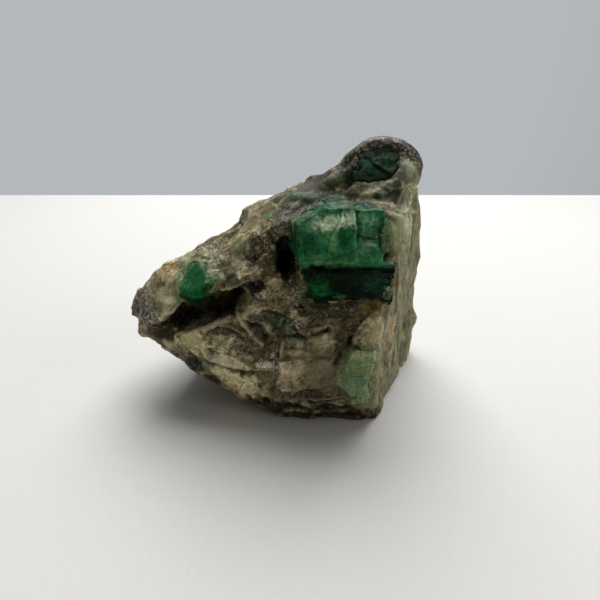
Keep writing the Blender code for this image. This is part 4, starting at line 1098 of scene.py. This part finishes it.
def crystalMaterial(name):
    shade = Shade(
        bpy.data.materials.new(name), Specular_IOR_Level=0.05, Coat_Roughness=0.12, Subsurface_Weight=0.2,
        Subsurface_Radius=(0.4, 1.0, 0.5), Subsurface_Scale=0.0015)
    paint = shade.paint("crystalPaint")
    slant = shade.node(
        "ShaderNodeMapping", {}, {"Vector": shade.place, "Rotation": (0, -0.42, 0), "Scale": (1.5, 1, 0.2)})
    streak = shade.noise(0.8, 5, place=slant)
    along = shade.noise(0.4, 4, place=shade.stretched((0.2, 1, 1)))
    milk = shade.noise(1.6, 5, distortion=0.6)
    fine = shade.noise(0.35, 3)
    grain = shade.cells(0.28, output="Color") - 0.5
    tone = 0.85 * streak + 0.4 * along + 0.5 * milk + 0.75 * fine - 0.25 + 0.5 * grain
    base = shade.mix(1.0, paint, tone, blend="MULTIPLY")
    veils = shade.ramp(streak * milk, 0.26, 0.42)
    milky = shade.mix(1.0, paint, (2.2, 1.7, 1.9, 1), blend="MULTIPLY")
    base = shade.mix(veils * 0.5, base, shade.mix(0.5, milky, base))
    relief = shade.bump(shade.facets(1.6), 0.09)
    relief = shade.bump(shade.facets(0.5), 0.06, normal=relief)
    relief = shade.bump(along, 0.08, 0.5, normal=relief)
    relief = shade.bump(streak, 0.12, 0.7, normal=relief)
    relief = shade.bump(fine, 0.08, 0.8, normal=relief)
    gloss = shade.paint("gloss", "Fac") * shade.ramp(milk, 0.4, 0.6)
    return shade.into(Base_Color=base, Roughness=0.3 + 0.35 * milk, Coat_Weight=gloss, Normal=relief)


for node, plan in crystals.items():
    crystal = carveCrystal(node, plan)
    crystal.data.materials.append(crystalMaterial(plan["name"] + "Green"))
    selectOnly(crystal)
    bpy.ops.object.shade_smooth()
    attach(crystal, "root")
    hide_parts(node)
    print(plan["name"], len(crystal.data.polygons), "faces")


studio = {
    "floorColour": (0.60, 0.595, 0.58),
    "farEdge": 0.184,  # where the table ends
    "wallColour": (0.455, 0.480, 0.500),
    "frontColour": (0.04, 0.04, 0.04),  # the dim side of the room, in front of the table
    "roomSpan": (-0.1, 0.85),  # from where to where the room brightens
    "camera": {"at": (-8.72, -90.70, 64.4), "tilt": 63.24, "sensor": 36, "lens": 26.08, "shift": 0.0872},
    "ceiling": {"at": (0.05, 0.24, 0.46), "size": 0.42, "power": 4.5, "colour": (1.0, 0.995, 0.98)},
    "side": {"at": (0.42, -0.12, 0.26), "size": 0.24, "power": 0.5, "colour": (1.0, 0.97, 0.93)},
    "lowLeft": {"at": (-0.30, -0.26, 0.06), "size": 0.12, "power": 0.12, "colour": (1.0, 0.97, 0.92)},
}


def layFloor():
    bpy.ops.mesh.primitive_plane_add(size=2, location=(0, studio["farEdge"] - 1, 0))
    floor = bpy.context.object
    floor.name = "floor"
    selectOnly(floor)
    bpy.ops.object.transform_apply(location=True, rotation=True, scale=True)
    shade = Shade(bpy.data.materials.new("paleCloth"), Roughness=0.85)
    weave = shade.noise(0.8, 2, place=shade.stretched((1.4, 0.25, 1)))
    pale = np.array(studio["floorColour"])
    tint = shade.mix(weave, (*(0.94 * pale), 1), (*pale, 1))
    floor.data.materials.append(shade.into(Base_Color=tint))


def hangLight(name, plan):
    data = bpy.data.lights.new(name, "AREA")
    data.size = plan["size"]
    data.energy = plan["power"]
    data.color = plan["colour"]
    lamp = bpy.data.objects.new(name, data)
    bpy.context.scene.collection.objects.link(lamp)
    lamp.location = plan["at"]
    lamp.rotation_euler = (Vector((0, 0, 0.02)) - Vector(plan["at"])).to_track_quat("-Z", "Y").to_euler()


def paintRoom():  # light wall behind the table, dim in front of it
    room = bpy.data.worlds.new("room")
    bpy.context.scene.world = room
    shade = Shade(room, "Background", space="Generated")
    depth = shade.node("ShaderNodeSeparateXYZ", {}, {0: shade.place}, output="Y")
    near, far = studio["roomSpan"]
    span = shade.node("ShaderNodeMapRange", {}, {"Value": depth, "From Min": near, "From Max": far})
    shade.into(Color=shade.mix(span, (*studio["frontColour"], 1), (*studio["wallColour"], 1)))


def setCamera():
    plan = studio["camera"]
    data = bpy.data.cameras.new("camera")
    data.sensor_width = plan["sensor"]
    data.lens = plan["lens"]
    data.shift_x = plan["shift"]
    data.clip_start = 5 * mm
    eye = bpy.data.objects.new("camera", data)
    bpy.context.scene.collection.objects.link(eye)
    eye.location = [place * mm for place in plan["at"]]
    eye.rotation_euler = (math.radians(plan["tilt"]), 0, 0)
    bpy.context.scene.camera = eye


layFloor()
for lamp in ("ceiling", "side", "lowLeft"):
    hangLight(lamp, studio[lamp])
setCamera()
paintRoom()
bpy.context.scene.view_settings.view_transform = "Standard"
print("studio set")
